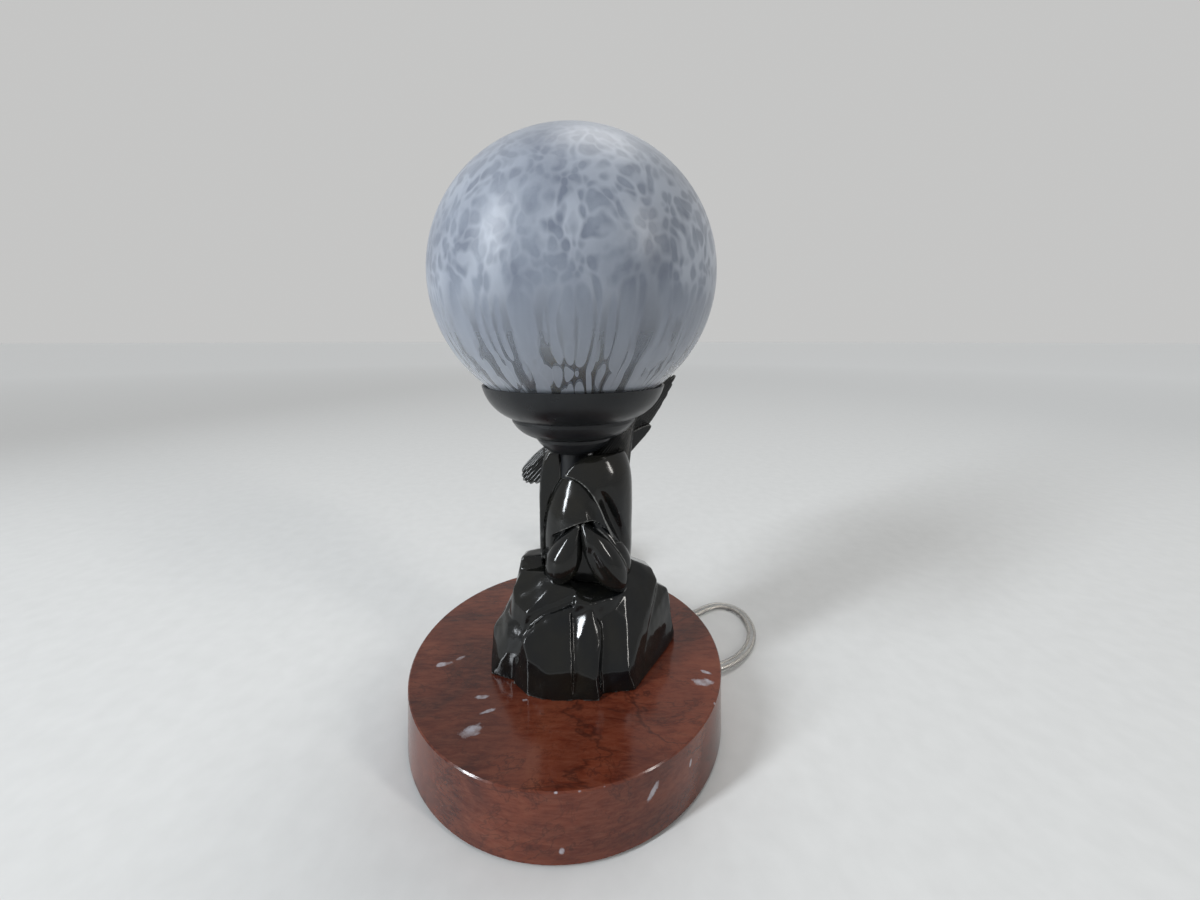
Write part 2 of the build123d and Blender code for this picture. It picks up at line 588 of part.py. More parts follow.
# ---------------------------------------------------------------- bulb
bulb_z = ceramic_top + 2 + CLEAR + 0.1
cap_bottom = bulb_z + 3.8
cap_top = cap_bottom + BULB_CAP_H
bulb_neck_r = BULB_CAP_R - 0.5
bulb_centre = cap_top + 33.0
save(turned([(0, bulb_z), (4.5, bulb_z), (4.5, bulb_z + 0.8), (0, bulb_z + 0.8)]), "bulb_contact")
save(turned([(0, bulb_z + 0.8), (5, bulb_z + 0.8), (11, cap_bottom), (0, cap_bottom)]),
     "bulb_insulator")
save(turned([(0, cap_bottom), (11, cap_bottom), (BULB_CAP_R, cap_bottom + 2), (BULB_CAP_R, cap_top),
             (bulb_neck_r, cap_top), (bulb_neck_r, cap_bottom + 2.3), (10.8, cap_bottom + 0.5),
             (0, cap_bottom + 0.5)]), "bulb_cap")


def bulb_half(inset):
    """Outline of the bulb from its neck over the ball to the axis, drawn in by the inset."""
    neck = bulb_neck_r - inset
    ball = BULB_R - inset
    start = (neck, bulb_centre - sqrt(ball**2 - neck**2))
    return [(neck, cap_top - 10), start], (ball, bulb_centre), (0, bulb_centre + ball)


with BuildPart() as bulb_glass:
    with BuildSketch(rod_profile):
        (low_out, start_out), side_out, crown_out = bulb_half(0)
        (low_in, start_in), side_in, crown_in = bulb_half(BULB_GLASS_WALL)
        with BuildLine():
            Line(low_out, start_out)
            ThreePointArc(start_out, side_out, crown_out)
            Line(crown_out, crown_in)
            ThreePointArc(crown_in, side_in, start_in)
            Polyline(start_in, low_in, low_out)
        make_face()
    revolve(axis=rod_line)
save(bulb_glass, "bulb_glass")

stem_top = bulb_centre - 8
with BuildPart() as bulb_mount:
    with BuildSketch(rod_profile):
        with BuildLine():
            Polyline((0, cap_top - 9), (bulb_neck_r - BULB_GLASS_WALL, cap_top - 9),
                     (bulb_neck_r - BULB_GLASS_WALL, cap_top - 8), (3.5, cap_top - 2),
                     (2.5, stem_top), (0, stem_top), close=True)
        make_face()
    revolve(axis=rod_line)
    for turn in range(0, 360, 72):
        foot = Vector(ROD_X, ROD_Y, stem_top - 1)
        hook = foot + polar(turn, 9) + Vector(0, 0, 11)
        with BuildSketch(Plane(foot, z_dir=hook - foot)):
            Circle(0.35)
        extrude(amount=(hook - foot).length)
    with Locations((ROD_X, ROD_Y, stem_top + 10)):
        Torus(9, 0.5)
save(bulb_mount, "bulb_mount")

# ---------------------------------------------------------------- globe
def height_on_arc(points, radius):
    """Height at which the lower side of the circle through three points has this radius."""
    (ax, az), (bx, bz), (cx, cz) = points
    d = 2 * (ax * (bz - cz) + bx * (cz - az) + cx * (az - bz))
    a, b, c = ax**2 + az**2, bx**2 + bz**2, cx**2 + cz**2
    ux = (a * (bz - cz) + b * (cz - az) + c * (az - bz)) / d
    uz = (a * (cx - bx) + b * (ax - cx) + c * (bx - ax)) / d
    return uz - sqrt((ax - ux) ** 2 + (az - uz) ** 2 - (radius - ux) ** 2)


inner_rim = [(r - CUP_WALL, z + CUP_WALL) for r, z in CUP_STEPS[0]]
globe_bottom = height_on_arc(inner_rim, GLOBE_NECK_R) + CLEAR
globe_centre = globe_bottom + GLOBE_NECK_H + sqrt(GLOBE_R**2 - GLOBE_NECK_R**2)
neck_in = GLOBE_NECK_R - GLOBE_WALL
ball_in = GLOBE_R - GLOBE_WALL

with BuildPart() as globe:
    with BuildSketch(rod_profile):
        neck_top = (GLOBE_NECK_R, globe_bottom + GLOBE_NECK_H)
        neck_top_in = (neck_in, globe_centre - sqrt(ball_in**2 - neck_in**2))
        with BuildLine():
            Line((GLOBE_NECK_R, globe_bottom), neck_top)
            ThreePointArc(neck_top, (GLOBE_R, globe_centre), (0, globe_centre + GLOBE_R))
            Line((0, globe_centre + GLOBE_R), (0, globe_centre + ball_in))
            ThreePointArc((0, globe_centre + ball_in), (ball_in, globe_centre), neck_top_in)
            Polyline(neck_top_in, (neck_in, globe_bottom), (GLOBE_NECK_R, globe_bottom))
        make_face()
    revolve(axis=rod_line)
save(globe, "globe")

# ---------------------------------------------------------------- flex
FLOOR = FLEX_T / 2 + 0.05
UPRIGHT = Location((0, 0, FLEX_W))     # a copy of the route above it keeps the flex flat


def flex_section():
    """Cross-section of the flat flex: its width along x, its corners taken off."""
    Rectangle(FLEX_W, FLEX_T)
    chamfer(vertices(), FLEX_T * 0.3)


# Inside the base and the rod: along the groove, round a bend and up to the holder.
bend_r = rod_bottom - flex_exit_z - CLEAR
lead_top = holder_z + 9.0
foot = Vector(ROD_X, ROD_Y, flex_exit_z)
with BuildPart() as inner_lead:
    with BuildLine():
        lead_bend = foot + exit_way * bend_r
        rise = foot + Vector(0, 0, bend_r)
        Line(flex_exit, lead_bend)
        TangentArc(lead_bend, rise, tangent=exit_way * -1)
        Line(rise, (ROD_X, ROD_Y, lead_top))
    with BuildSketch(Plane(flex_exit, x_dir=exit_side, z_dir=exit_way * -1)):
        flex_section()
    sweep()
    for spot, side in zip(terminals, (exit_side, exit_side * -1)):
        start = Vector(ROD_X, ROD_Y, lead_top - 1) + side * (FLEX_W / 4)
        end = spot - side * (TERMINAL_R + 0.9) + Vector(0, 0, -1.2)
        with BuildSketch(Plane(start, z_dir=end - start)):
            Circle(0.8)
        extrude(amount=(end - start).length)
save(inner_lead, "inner_lead")

# From the rim to the switch: on the table, round the loop at the right.
def fillet_radii(points):
    """Largest even bend at each inner point: 0.45 of the shorter run beside it."""
    radii = []
    for before, here, after in zip(points, points[1:], points[2:]):
        back, on = here - before, after - here
        half = radians(back.get_angle(on)) / 2
        radii.append(0.45 * min(back.length, on.length) / tan(half))
    return radii


def laid_flex(points):
    """A length of flex laid along points, with its flat side down."""
    radii = fillet_radii(points)
    print("runs", [round((b - a).length, 1) for a, b in zip(points, points[1:])])
    print("bend radii", [round(r, 1) for r in radii])
    first = points[1] - points[0]
    with BuildPart() as piece:
        with BuildLine() as route:
            FilletPolyline(*points, radius=radii)
        across = Vector(0, 0, 1).cross(first)
        with BuildSketch(Plane(points[0], x_dir=across, z_dir=first)) as section:
            flex_section()
        sweep(path=route.wire(), binormal=route.wire().moved(UPRIGHT))
    length = route.wire().length
    print("flex length", round(length, 1), "volume / section x length",
          round(piece.part.volume / (section.sketch.area * length), 3))
    return piece, length


switch_way = polar(SWITCH_ANGLE + 90, 1)
switch_across = polar(SWITCH_ANGLE, 1)
switch_centre = polar(SWITCH_ANGLE, BASE_R + SWITCH_GAP + SWITCH_W / 2)
switch_entry = Vector(0, 0, SWITCH_WALL + FLEX_T / 2 + CLEAR)
switch_in = switch_centre - switch_way * (SWITCH_L / 2) + switch_entry
switch_out = switch_centre + switch_way * (SWITCH_L / 2) + switch_entry
coil_start = Vector(COIL_X - COIL_R, COIL_Y, COIL_LIFT + FLEX_T / 2)

run_points = [
    flex_exit, flex_exit + exit_way * FIRST_RUN,
    *[Vector(x, y, FLOOR) for x, y in LOOP_POINTS],
    switch_in - switch_way * SWITCH_RUN, switch_in]
link_points = [
    switch_out, switch_out + switch_way * (1.4 * SWITCH_RUN),
    *[Vector(x, y, FLOOR) for x, y in LINK_POINTS],
    coil_start - Vector(0, SWITCH_RUN, 0), coil_start]
flex_run, run_length = laid_flex(run_points)
flex_link, link_length = laid_flex(link_points)
save(flex_run, "flex_run")
save(flex_link, "flex_link")


# The rest is wound in layers and ends on top of them, at the plug. Every quarter turn is
# two arcs that meet smoothly.
def quarter(start, start_way, end, end_way):
    """Two tangent arcs from one point and direction to another."""
    span = end - start
    both = start_way + end_way
    k = 2 * (1 - start_way.dot(end_way))
    d = (-span.dot(both) + sqrt(span.dot(both) ** 2 + k * span.dot(span))) / k
    middle = (start + end + (start_way - end_way) * d) * 0.5
    middle_way = (end - end_way * d - start - start_way * d).normalized()
    TangentArc(start, middle, tangent=start_way)
    TangentArc(middle, end, tangent=middle_way)


turn_step = (FLEX_W + FLEX_GAP) / 4
layer_step = FLEX_T + LAYER_GAP
stations = [(180.0, COIL_R, coil_start.Z, 0.0, 0.0)]     # angle, radius, height, slopes


def wind(quarters, out, rise, climb=0.0):
    for _ in range(quarters):
        angle, radius, z = stations[-1][:3]
        stations.append((angle - 90, radius + out, z + rise, out, climb))


for layer, quarters in enumerate([QUARTERS_PER_LAYER] * (LAYERS - 1) + [LAST_LAYER]):
    wind(quarters, turn_step * (1 if layer % 2 else -1), 0)
    wind(1, 0, layer_step)
tail_fall = (TAIL_R - stations[-1][1]) / 2
coil_top = COIL_LIFT + LAYERS * layer_step - LAYER_GAP
tail_rise = (coil_top + CLEAR + PLUG_T / 2 - stations[-1][2]) / 2
wind(1, tail_fall, tail_rise, 1.5 * tail_rise)
wind(1, tail_fall, tail_rise)


def station(index):
    angle, radius, z, out, climb = stations[index]
    following = stations[index + 1][3] if index + 1 < len(stations) else 0
    out = 0 if out * following <= 0 else (out + following) / 2
    outward = polar(angle, 1)
    onward = polar(angle - 90, 1)
    way = onward * radius * pi / 2 + outward * out + Vector(0, 0, climb)
    return Vector(COIL_X, COIL_Y, z) + outward * radius, way.normalized()


with BuildPart() as flex_coil:
    with BuildLine() as coil_route:
        for i in range(len(stations) - 1):
            quarter(*station(i), *station(i + 1))
        plug_end, plug_way = station(len(stations) - 1)
        Line(plug_end, plug_end + plug_way * FLEX_W)
    with BuildSketch(Plane(coil_start, x_dir=(1, 0, 0), z_dir=(0, 1, 0))) as coil_section:
        flex_section()
    coil_wire = coil_route.wire()
    sweep(path=coil_wire, binormal=coil_wire.moved(UPRIGHT))
print("coil length", round(coil_wire.length, 1), "volume / section x length",
      round(flex_coil.part.volume / (coil_section.sketch.area * coil_wire.length), 3))
print("flex in all", round(run_length + link_length + coil_wire.length, 1))
save(flex_coil, "flex_coil")


def smallest_gap(wire, samples=24):
    """Free space between neighbouring turns, from crossings of upright planes every 3 degrees."""
    crossings = {}
    for i, edge in enumerate(wire.edges()):
        for k in range(samples):
            at = edge @ (k / samples) - Vector(COIL_X, COIL_Y, 0)
            key = round(degrees(atan2(at.Y, at.X)) / 3) % 120
            crossings.setdefault(key, []).append((i, sqrt(at.X**2 + at.Y**2), at.Z))
    flat = FLEX_W / 2 - FLEX_T / 2
    best = FLEX_W
    for found in crossings.values():
        for i, r1, z1 in found:
            for j, r2, z2 in found:
                if j - i > 4:
                    beside = max(0, abs(r1 - r2) - 2 * flat)
                    best = min(best, sqrt(beside**2 + (z1 - z2) ** 2) - FLEX_T)
    return best


print("smallest gap in the coil", round(smallest_gap(coil_wire), 2))

# The tie goes round all the layers at one place.
tie_in = COIL_R - QUARTERS_PER_LAYER * turn_step - FLEX_W / 2 - CLEAR
tie_out = COIL_R + FLEX_W / 2 + CLEAR
tie_top = coil_top + CLEAR
tie_plane = Plane((COIL_X, COIL_Y, 0), x_dir=polar(TIE_ANGLE, 1), z_dir=polar(TIE_ANGLE - 90, 1))
with BuildPart() as coil_tie:
    with BuildSketch(tie_plane):
        with Locations(((tie_in + tie_out) / 2, (tie_top + TIE_T) / 2)):
            Rectangle(tie_out - tie_in + 2 * TIE_T, tie_top + TIE_T)
        with Locations(((tie_in + tie_out) / 2, (tie_top + TIE_T) / 2)):
            Rectangle(tie_out - tie_in, tie_top - TIE_T, mode=Mode.SUBTRACT)
    extrude(amount=TIE_W / 2, both=True)
save(coil_tie, "coil_tie")

# ---------------------------------------------------------------- switch
ROCKER_L, ROCKER_W = 18.4, 9.4
ROCKER_PIN_R = 1.0
ROCKER_RISE = 2.4                # from the parting line to the pin
SWITCH_SCREW_X = 20.5
switch_floor = Plane(switch_centre, x_dir=switch_way, z_dir=(0, 0, 1))
parting = SWITCH_H / 2
inner = (SWITCH_L - 2 * SWITCH_WALL, SWITCH_W - 2 * SWITCH_WALL, SWITCH_CORNER - SWITCH_WALL)
screw_spots = [(SWITCH_SCREW_X, 0), (-SWITCH_SCREW_X, 0)]

with BuildPart() as switch_lower_shell:
    with BuildSketch(switch_floor):
        RectangleRounded(SWITCH_L, SWITCH_W, SWITCH_CORNER)
    extrude(amount=parting)
    chamfer(switch_lower_shell.edges().group_by(Axis.Z)[0], 0.8)
    with BuildSketch(switch_floor.offset(parting)):
        RectangleRounded(*inner)
    extrude(amount=SWITCH_WALL - parting, mode=Mode.SUBTRACT)
    with BuildSketch(switch_floor):
        with Locations(*screw_spots):
            Circle(3)
    extrude(amount=parting)
    with BuildSketch(switch_floor):
        with Locations(*screw_spots):
            Circle(2.2 + SLIP)
    extrude(amount=2.2, mode=Mode.SUBTRACT)
    with BuildSketch(switch_floor):
        with Locations(*screw_spots):
            Circle(1.2 + SLIP)
    extrude(amount=parting, mode=Mode.SUBTRACT)
save(switch_lower_shell, "switch_lower_shell")

with BuildPart() as switch_upper_shell:
    with BuildSketch(switch_floor.offset(parting)):
        RectangleRounded(SWITCH_L, SWITCH_W, SWITCH_CORNER)
    extrude(amount=parting)
    chamfer(switch_upper_shell.edges().group_by(Axis.Z)[-1], 1.2)
    with BuildSketch(switch_floor.offset(parting)):
        RectangleRounded(*inner)
    extrude(amount=parting - SWITCH_WALL, mode=Mode.SUBTRACT)
    with BuildSketch(switch_floor.offset(parting)):
        with Locations(*screw_spots):
            Circle(3)
    extrude(amount=parting - SWITCH_WALL)
    with BuildSketch(switch_floor.offset(parting)):
        with Locations(*screw_spots):
            Circle(1.2)
    extrude(amount=3.5, mode=Mode.SUBTRACT)
    with BuildSketch(switch_floor.offset(parting)):
        Rectangle(ROCKER_L + 2 * 1.0, ROCKER_W + 2 * CLEAR + 0.2)
    extrude(amount=SWITCH_H, mode=Mode.SUBTRACT)
    pin_plane = Plane(
        switch_centre + Vector(0, 0, parting + ROCKER_RISE) - switch_across * (SWITCH_W / 2 - 0.8),
        x_dir=switch_way, z_dir=switch_across)
    with BuildSketch(pin_plane):
        Circle(ROCKER_PIN_R)
    extrude(amount=SWITCH_W - 1.6, mode=Mode.SUBTRACT)
save(switch_upper_shell, "switch_upper_shell")

with BuildPart() as rocker_pin:
    with BuildSketch(pin_plane):
        Circle(ROCKER_PIN_R)
    extrude(amount=SWITCH_W - 1.6)
save(rocker_pin, "rocker_pin")

# Drawn round its pin and tipped to one side: that side is the position "off".
pivot = switch_centre + Vector(0, 0, parting + ROCKER_RISE)
tilt = radians(ROCKER_TILT)
rocker_plane = Plane(
    pivot, x_dir=switch_way * cos(tilt) + Vector(0, 0, sin(tilt)), z_dir=switch_across)
with BuildPart() as switch_rocker:
    with BuildSketch(rocker_plane):
        Polygon((-ROCKER_L / 2, 5.2), (-ROCKER_L / 2, -0.5), (-5, -2.6), (5, -2.6),
                (ROCKER_L / 2, -0.5), (ROCKER_L / 2, 5.2), (0, 4.4), align=None)
        Circle(ROCKER_PIN_R + CLEAR, mode=Mode.SUBTRACT)
    extrude(amount=ROCKER_W / 2, both=True)
save(switch_rocker, "switch_rocker")

with BuildPart() as switch_screws:
    with BuildSketch(switch_floor.offset(0.8)):
        with Locations(*screw_spots):
            Circle(2.2)
    extrude(amount=1.4)
    with BuildSketch(switch_floor.offset(2.2)):
        with Locations(*screw_spots):
            Circle(1.2)
    extrude(amount=parting + 3.5 - 2.2)
save(switch_screws, "switch_screws")

# ---------------------------------------------------------------- plug
PLUG_NECK_W = 13.0
plug_origin = plug_end + plug_way * FLEX_W
plug_plane = Plane(plug_origin, x_dir=plug_way, z_dir=(0, 0, 1))
pin_face = Plane(plug_origin + plug_way * PLUG_L, x_dir=plug_way.cross(Vector(0, 0, 1)), z_dir=plug_way)
with BuildPart() as plug_body:
    with BuildSketch(plug_plane.offset(-PLUG_T / 2)):
        Polygon((0, -PLUG_NECK_W / 2), (5, -PLUG_NECK_W / 2), (15, -PLUG_W / 2), (PLUG_L, -PLUG_W / 2),
                (PLUG_L, PLUG_W / 2), (15, PLUG_W / 2), (5, PLUG_NECK_W / 2), (0, PLUG_NECK_W / 2),
                align=None)
    extrude(amount=PLUG_T)
    chamfer(plug_body.edges().filter_by(Axis.Z, reverse=True), 1.6)
    with BuildSketch(pin_face):
        with Locations((-PIN_SPACING / 2, 0), (PIN_SPACING / 2, 0)):
            Circle(PIN_R)
    extrude(amount=-12, mode=Mode.SUBTRACT)
save(plug_body, "plug_body")

with BuildPart() as plug_pins:
    with BuildSketch(pin_face.offset(-12)):
        with Locations((-PIN_SPACING / 2, 0), (PIN_SPACING / 2, 0)):
            Circle(PIN_R)
    extrude(amount=12 + PIN_L)
    chamfer(plug_pins.faces().sort_by(Axis.Y)[-2:].edges(), 0.8)
save(plug_pins, "plug_pins")
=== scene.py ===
# %% [markdown]
# # Figural table lamp
# A cast bird on a faceted rock stands on a round marble base and carries a cup with a mottled
# glass ball. The lamp's solids are packed already, and they are the frame for all that follows:
# a piece sits where its solid is, in metres, and rides on the same body, so nothing is fitted by
# eye. Turned and moulded pieces keep their solids and only get a finish. The castings and the
# flex are made anew, because their softness is what a solid doesn't show.

import math

import bmesh
import bpy
import numpy as np
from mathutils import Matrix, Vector, noise


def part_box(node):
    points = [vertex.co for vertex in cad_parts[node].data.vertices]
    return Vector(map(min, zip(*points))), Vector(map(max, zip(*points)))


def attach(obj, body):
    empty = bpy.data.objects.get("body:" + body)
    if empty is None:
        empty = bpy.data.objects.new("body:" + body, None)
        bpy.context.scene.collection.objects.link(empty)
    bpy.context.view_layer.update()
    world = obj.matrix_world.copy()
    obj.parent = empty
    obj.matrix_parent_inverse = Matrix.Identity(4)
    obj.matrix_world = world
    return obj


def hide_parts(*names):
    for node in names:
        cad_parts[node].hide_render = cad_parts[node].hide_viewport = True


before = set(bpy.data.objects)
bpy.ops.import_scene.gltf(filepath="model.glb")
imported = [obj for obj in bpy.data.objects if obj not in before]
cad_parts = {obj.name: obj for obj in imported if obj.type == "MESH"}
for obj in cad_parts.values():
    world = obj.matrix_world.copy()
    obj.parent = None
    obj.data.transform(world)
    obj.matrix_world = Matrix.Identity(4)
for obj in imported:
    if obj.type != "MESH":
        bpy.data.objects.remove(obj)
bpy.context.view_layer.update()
MM = 0.001
print(len(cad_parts), "nodes")

# %% [markdown]
# ## Camera
# The photograph was taken level, 193 mm above the table and only 244 mm in front of the lamp's
# middle, with a wide lens. From so near, a few millimetres change the whole picture, so the
# camera comes first. It could be tilted down to take in the base, but then the uprights would
# lean, and in the photograph they don't. So it looks level, and its frame is shifted down.

# %% Place the camera
PHOTO_WIDTH, PHOTO_HEIGHT = 1200, 900
HORIZON_ROW = 340                    # counted from the top of the photograph
EYE = (0.0172, -0.244, 0.193)
scene = bpy.context.scene
scene.view_settings.view_transform = "Standard"
camera_data = bpy.data.cameras.new("camera")
camera_data.lens = 13.5
camera_data.sensor_width = 36
camera_data.shift_y = (HORIZON_ROW - PHOTO_HEIGHT / 2) / PHOTO_WIDTH
camera_data.clip_start = 0.01
camera = bpy.data.objects.new("camera", camera_data)
camera.location = EYE
camera.rotation_euler = (math.radians(90), 0, 0)
scene.collection.objects.link(camera)
scene.camera = camera
print("lens", camera_data.lens, "mm, shift", round(camera_data.shift_y, 3))

# %% [markdown]
# ## A surface and its shader
# A material is a tree of nodes. One Principled shader does for each finish on this lamp, and the
# numbers in its sockets make it stone, metal or glass. A number that is the same all over goes
# straight into its socket, and one that changes from place to place comes in by a link. The class
# below only saves typing: it makes the shader, and adds and joins nodes.


# %% A surface
class Surface:
    """A material under construction: its nodes, its links and its main shader."""

    def __init__(self, name, colour=(0.5, 0.5, 0.5), **inputs):
        self.material = bpy.data.materials.new(name)
        self.material.use_nodes = True
        self.nodes = self.material.node_tree.nodes
        self.links = self.material.node_tree.links
        self.main = self.nodes["Principled BSDF"]
        self.main.inputs["Base Color"].default_value = (*colour, 1)
        for key, value in inputs.items():
            self.main.inputs[key.replace("_", " ")].default_value = value

    def add(self, kind, **values):
        """A node. Each value goes to the socket of its name, or else to the node's own setting."""
        made = self.nodes.new("ShaderNode" + kind)
        for key, value in values.items():
            if key.replace("_", " ") in made.inputs:
                made.inputs[key.replace("_", " ")].default_value = value
            else:
                setattr(made, key, value)
        return made

    def join(self, source, target):
        self.links.new(source, target)

    def rough(self, value):
        self.join(value, self.main.inputs["Roughness"])

    def colour(self, value):
        self.join(value, self.main.inputs["Base Color"])

    def bump(self, height, distance, strength=1.0):
        made = self.add("Bump", Strength=strength, Distance=distance)
        self.join(height, made.inputs["Height"])
        self.join(made.outputs["Normal"], self.main.inputs["Normal"])


print("helper", Surface.__name__)

# %% [markdown]
# ## Patterns
# No real surface has one even colour. Clouds, grain and specks come from noise on Object
# coordinates, which are in metres, so a scale of 1000 gives specks about a millimetre across. A
# painted picture could do it too, but it would need the piece to be unfolded first, and it would
# blur close up. A ramp turns the noise's number into a colour or into another number.


# %% Patterns for a surface
class Finish(Surface):
    """A surface with patterns, and with sums and colours made from them."""

    def place(self, scale=(1, 1, 1), turn=(0, 0, 0)):
        """Object coordinates, scaled and turned (degrees)."""
        coords = self.add("TexCoord")
        mapping = self.add("Mapping")
        mapping.inputs["Scale"].default_value = scale
        mapping.inputs["Rotation"].default_value = [math.radians(a) for a in turn]
        self.join(coords.outputs["Object"], mapping.inputs["Vector"])
        return mapping.outputs["Vector"]

    def noise(self, vector, scale, detail=3.0, rough=0.5, distortion=0.0):
        made = self.add("TexNoise", Scale=scale, Detail=detail, Roughness=rough,
                        Distortion=distortion)
        self.join(vector, made.inputs["Vector"])
        return made.outputs["Fac"]

    def ramp(self, value, *stops):
        """Colours at places along 0 to 1. A stop is (place, colour) or (place, grey)."""
        made = self.add("ValToRGB")
        elements = made.color_ramp.elements
        elements.remove(elements[0])
        for i, (place, colour) in enumerate(stops):
            element = elements[0] if i == 0 else elements.new(place)
            element.position = place
            element.color = (*(colour if isinstance(colour, tuple) else (colour,) * 3), 1)
        self.join(value, made.inputs["Fac"])
        return made.outputs["Color"]

    def fill(self, node, values):
        """Set or join the sockets of a node, in their order."""
        for socket, value in zip(node.inputs, values):
            if isinstance(value, (int, float)):
                socket.default_value = value
            elif isinstance(value, tuple):
                socket.default_value = (*value, 1)
            elif value is not None:
                self.join(value, socket)
        return node.outputs[0]

    def math(self, operation, a, b=None, c=None):
        return self.fill(self.add("Math", operation=operation), (a, b, c))

    def mix(self, factor, a, b):
        return self.fill(self.add("MixRGB"), (factor, a, b))


print("helper", Finish.__name__)

# %% [markdown]
# ## Putting a finish on
# A solid of the frame is never moved or reshaped, but its slots may be given any material.


# %% Wear a finish
def wear(finish, material, *nodes):
    """Give nodes of the frame a finish."""
    for name in nodes:
        for slot in bpy.data.objects[name].material_slots:
            slot.material = material
    print(finish, "on", ", ".join(nodes))


# %% [markdown]
# ## Floor
# A plain pale floor, because the lamp is what counts. A paper sweep that curves up behind the
# lamp looks well from the front only, and this lamp is seen from all round. So the floor is a
# wide flat disc. Near the lamp faint fibres keep it from looking empty, and far out it takes the
# colour of the world, so that its edge doesn't show as a line.

# %% Lay the floor
FLOOR_RADIUS = 40                    # metres
FADE_OVER = 4.0                      # metres from the lamp to where the floor is all far colour
NEAR_DARK, NEAR_PALE, FAR = (0.600, 0.597, 0.585), (0.630, 0.627, 0.615), (0.80, 0.80, 0.79)
floor_paint = Finish("pale_floor", Roughness=0.7)
fibres = floor_paint.noise(floor_paint.place(), 90, 5)
near_colour = floor_paint.ramp(fibres, (0.3, NEAR_DARK), (0.7, NEAR_PALE))
distance = floor_paint.add("VectorMath", operation="LENGTH")
floor_paint.join(floor_paint.place(), distance.inputs[0])
share_out = floor_paint.math("MULTIPLY", distance.outputs["Value"], 1 / FADE_OVER)
floor_paint.colour(floor_paint.mix(floor_paint.ramp(share_out, (0.1, 0.0), (0.9, 1.0)),
                                   near_colour, FAR))
bm = bmesh.new()
bmesh.ops.create_circle(bm, cap_ends=True, segments=96, radius=FLOOR_RADIUS)
floor_mesh = bpy.data.meshes.new("floor")
bm.to_mesh(floor_mesh)
bm.free()
floor_mesh.materials.append(floor_paint.material)
floor = bpy.data.objects.new("floor", floor_mesh)
scene.collection.objects.link(floor)
print("floor", len(floor_mesh.polygons), "face")

# %% [markdown]
# ## World
# The world has two jobs. It lights the lamp weakly from all round, as a pale room does, and it is
# what shows behind the lamp and in its polish and glass, where it has to be much paler than that.
# One strength can't do both. Light Path tells the rays apart: those from the camera, from gloss
# and through glass get the pale world, and all others get the weak light.

# %% Mix the world
world = bpy.data.worlds.new("world")
scene.world = world
world.use_nodes = True
sky, links = world.node_tree.nodes, world.node_tree.links
lighting = sky["Background"]
lighting.inputs["Color"].default_value = (0.90, 0.95, 1.0, 1)
lighting.inputs["Strength"].default_value = 0.36
shown = sky.new("ShaderNodeBackground")
shown.inputs["Color"].default_value = (0.56, 0.56, 0.555, 1)
ray = sky.new("ShaderNodeLightPath")
pale = ray.outputs["Is Camera Ray"]
for other in ("Is Glossy Ray", "Is Transmission Ray"):
    either = sky.new("ShaderNodeMath")
    either.operation = "MAXIMUM"
    links.new(pale, either.inputs[0])
    links.new(ray.outputs[other], either.inputs[1])
    pale = either.outputs[0]
choice = sky.new("ShaderNodeMixShader")
links.new(pale, choice.inputs["Fac"])
links.new(lighting.outputs[0], choice.inputs[1])
links.new(shown.outputs[0], choice.inputs[2])
links.new(choice.outputs[0], sky["World Output"].inputs["Surface"])
print("world of strength", lighting.inputs["Strength"].default_value)

# %% [markdown]
# ## Lights
# A high soft sun lights all of the floor evenly. A cool panel at the upper left stands for the
# daylight that the photograph was taken in, and a weak warm one at the right opens the shadows.
# Big panels close by would leave a burnt patch on the floor. These are far and narrow, and they
# give the black castings their long thin highlights.


# %% Hang the lights
def aim_light(name, data, place, aim):
    light = bpy.data.objects.new(name, data)
    light.location = place
    light.rotation_euler = (Vector(aim) - Vector(place)).to_track_quat("-Z", "Y").to_euler()
    scene.collection.objects.link(light)


LAMP_MIDDLE = (0, 0, 0.12)
# Each panel: its name, place, width, height, watts and colour.
PANELS = (
    ("window", (-1.60, -1.00, 0.98), 0.20, 1.50, 9.0, (0.90, 0.95, 1.0)),
    ("right_fill", (1.90, -1.20, 1.20), 0.20, 1.20, 3.0, (1.0, 0.97, 0.93)))
sun = bpy.data.lights.new("high_sun", "SUN")
sun.energy, sun.angle, sun.color = 1.0, math.radians(35), (1.0, 0.99, 0.97)
aim_light("high_sun", sun, (0.3, 0.5, 2.0), (0, 0, 0))
for name, place, width, height, watts, colour in PANELS:
    panel = bpy.data.lights.new(name, "AREA")
    panel.shape = "RECTANGLE"
    panel.size, panel.size_y, panel.energy, panel.color = width, height, watts, colour
    panel.spread = math.radians(75)
    aim_light(name, panel, place, LAMP_MIDDLE)
print("a sun and", len(PANELS), "panels")

# %% [markdown]
# ## Marble: clouds and grain
# The disc is sawn from a red-brown marble and polished: clouds of lighter and darker red, a short
# grain, thin dark veins and a few white flecks. Patterns on Object coordinates run through the
# whole block, so they go over the edge and down the side as they do in sawn stone, which a
# picture on the top wouldn't. Clouds are a slow noise and grain is a quick one, and both are
# stretched along one direction, as the layers of the stone are.

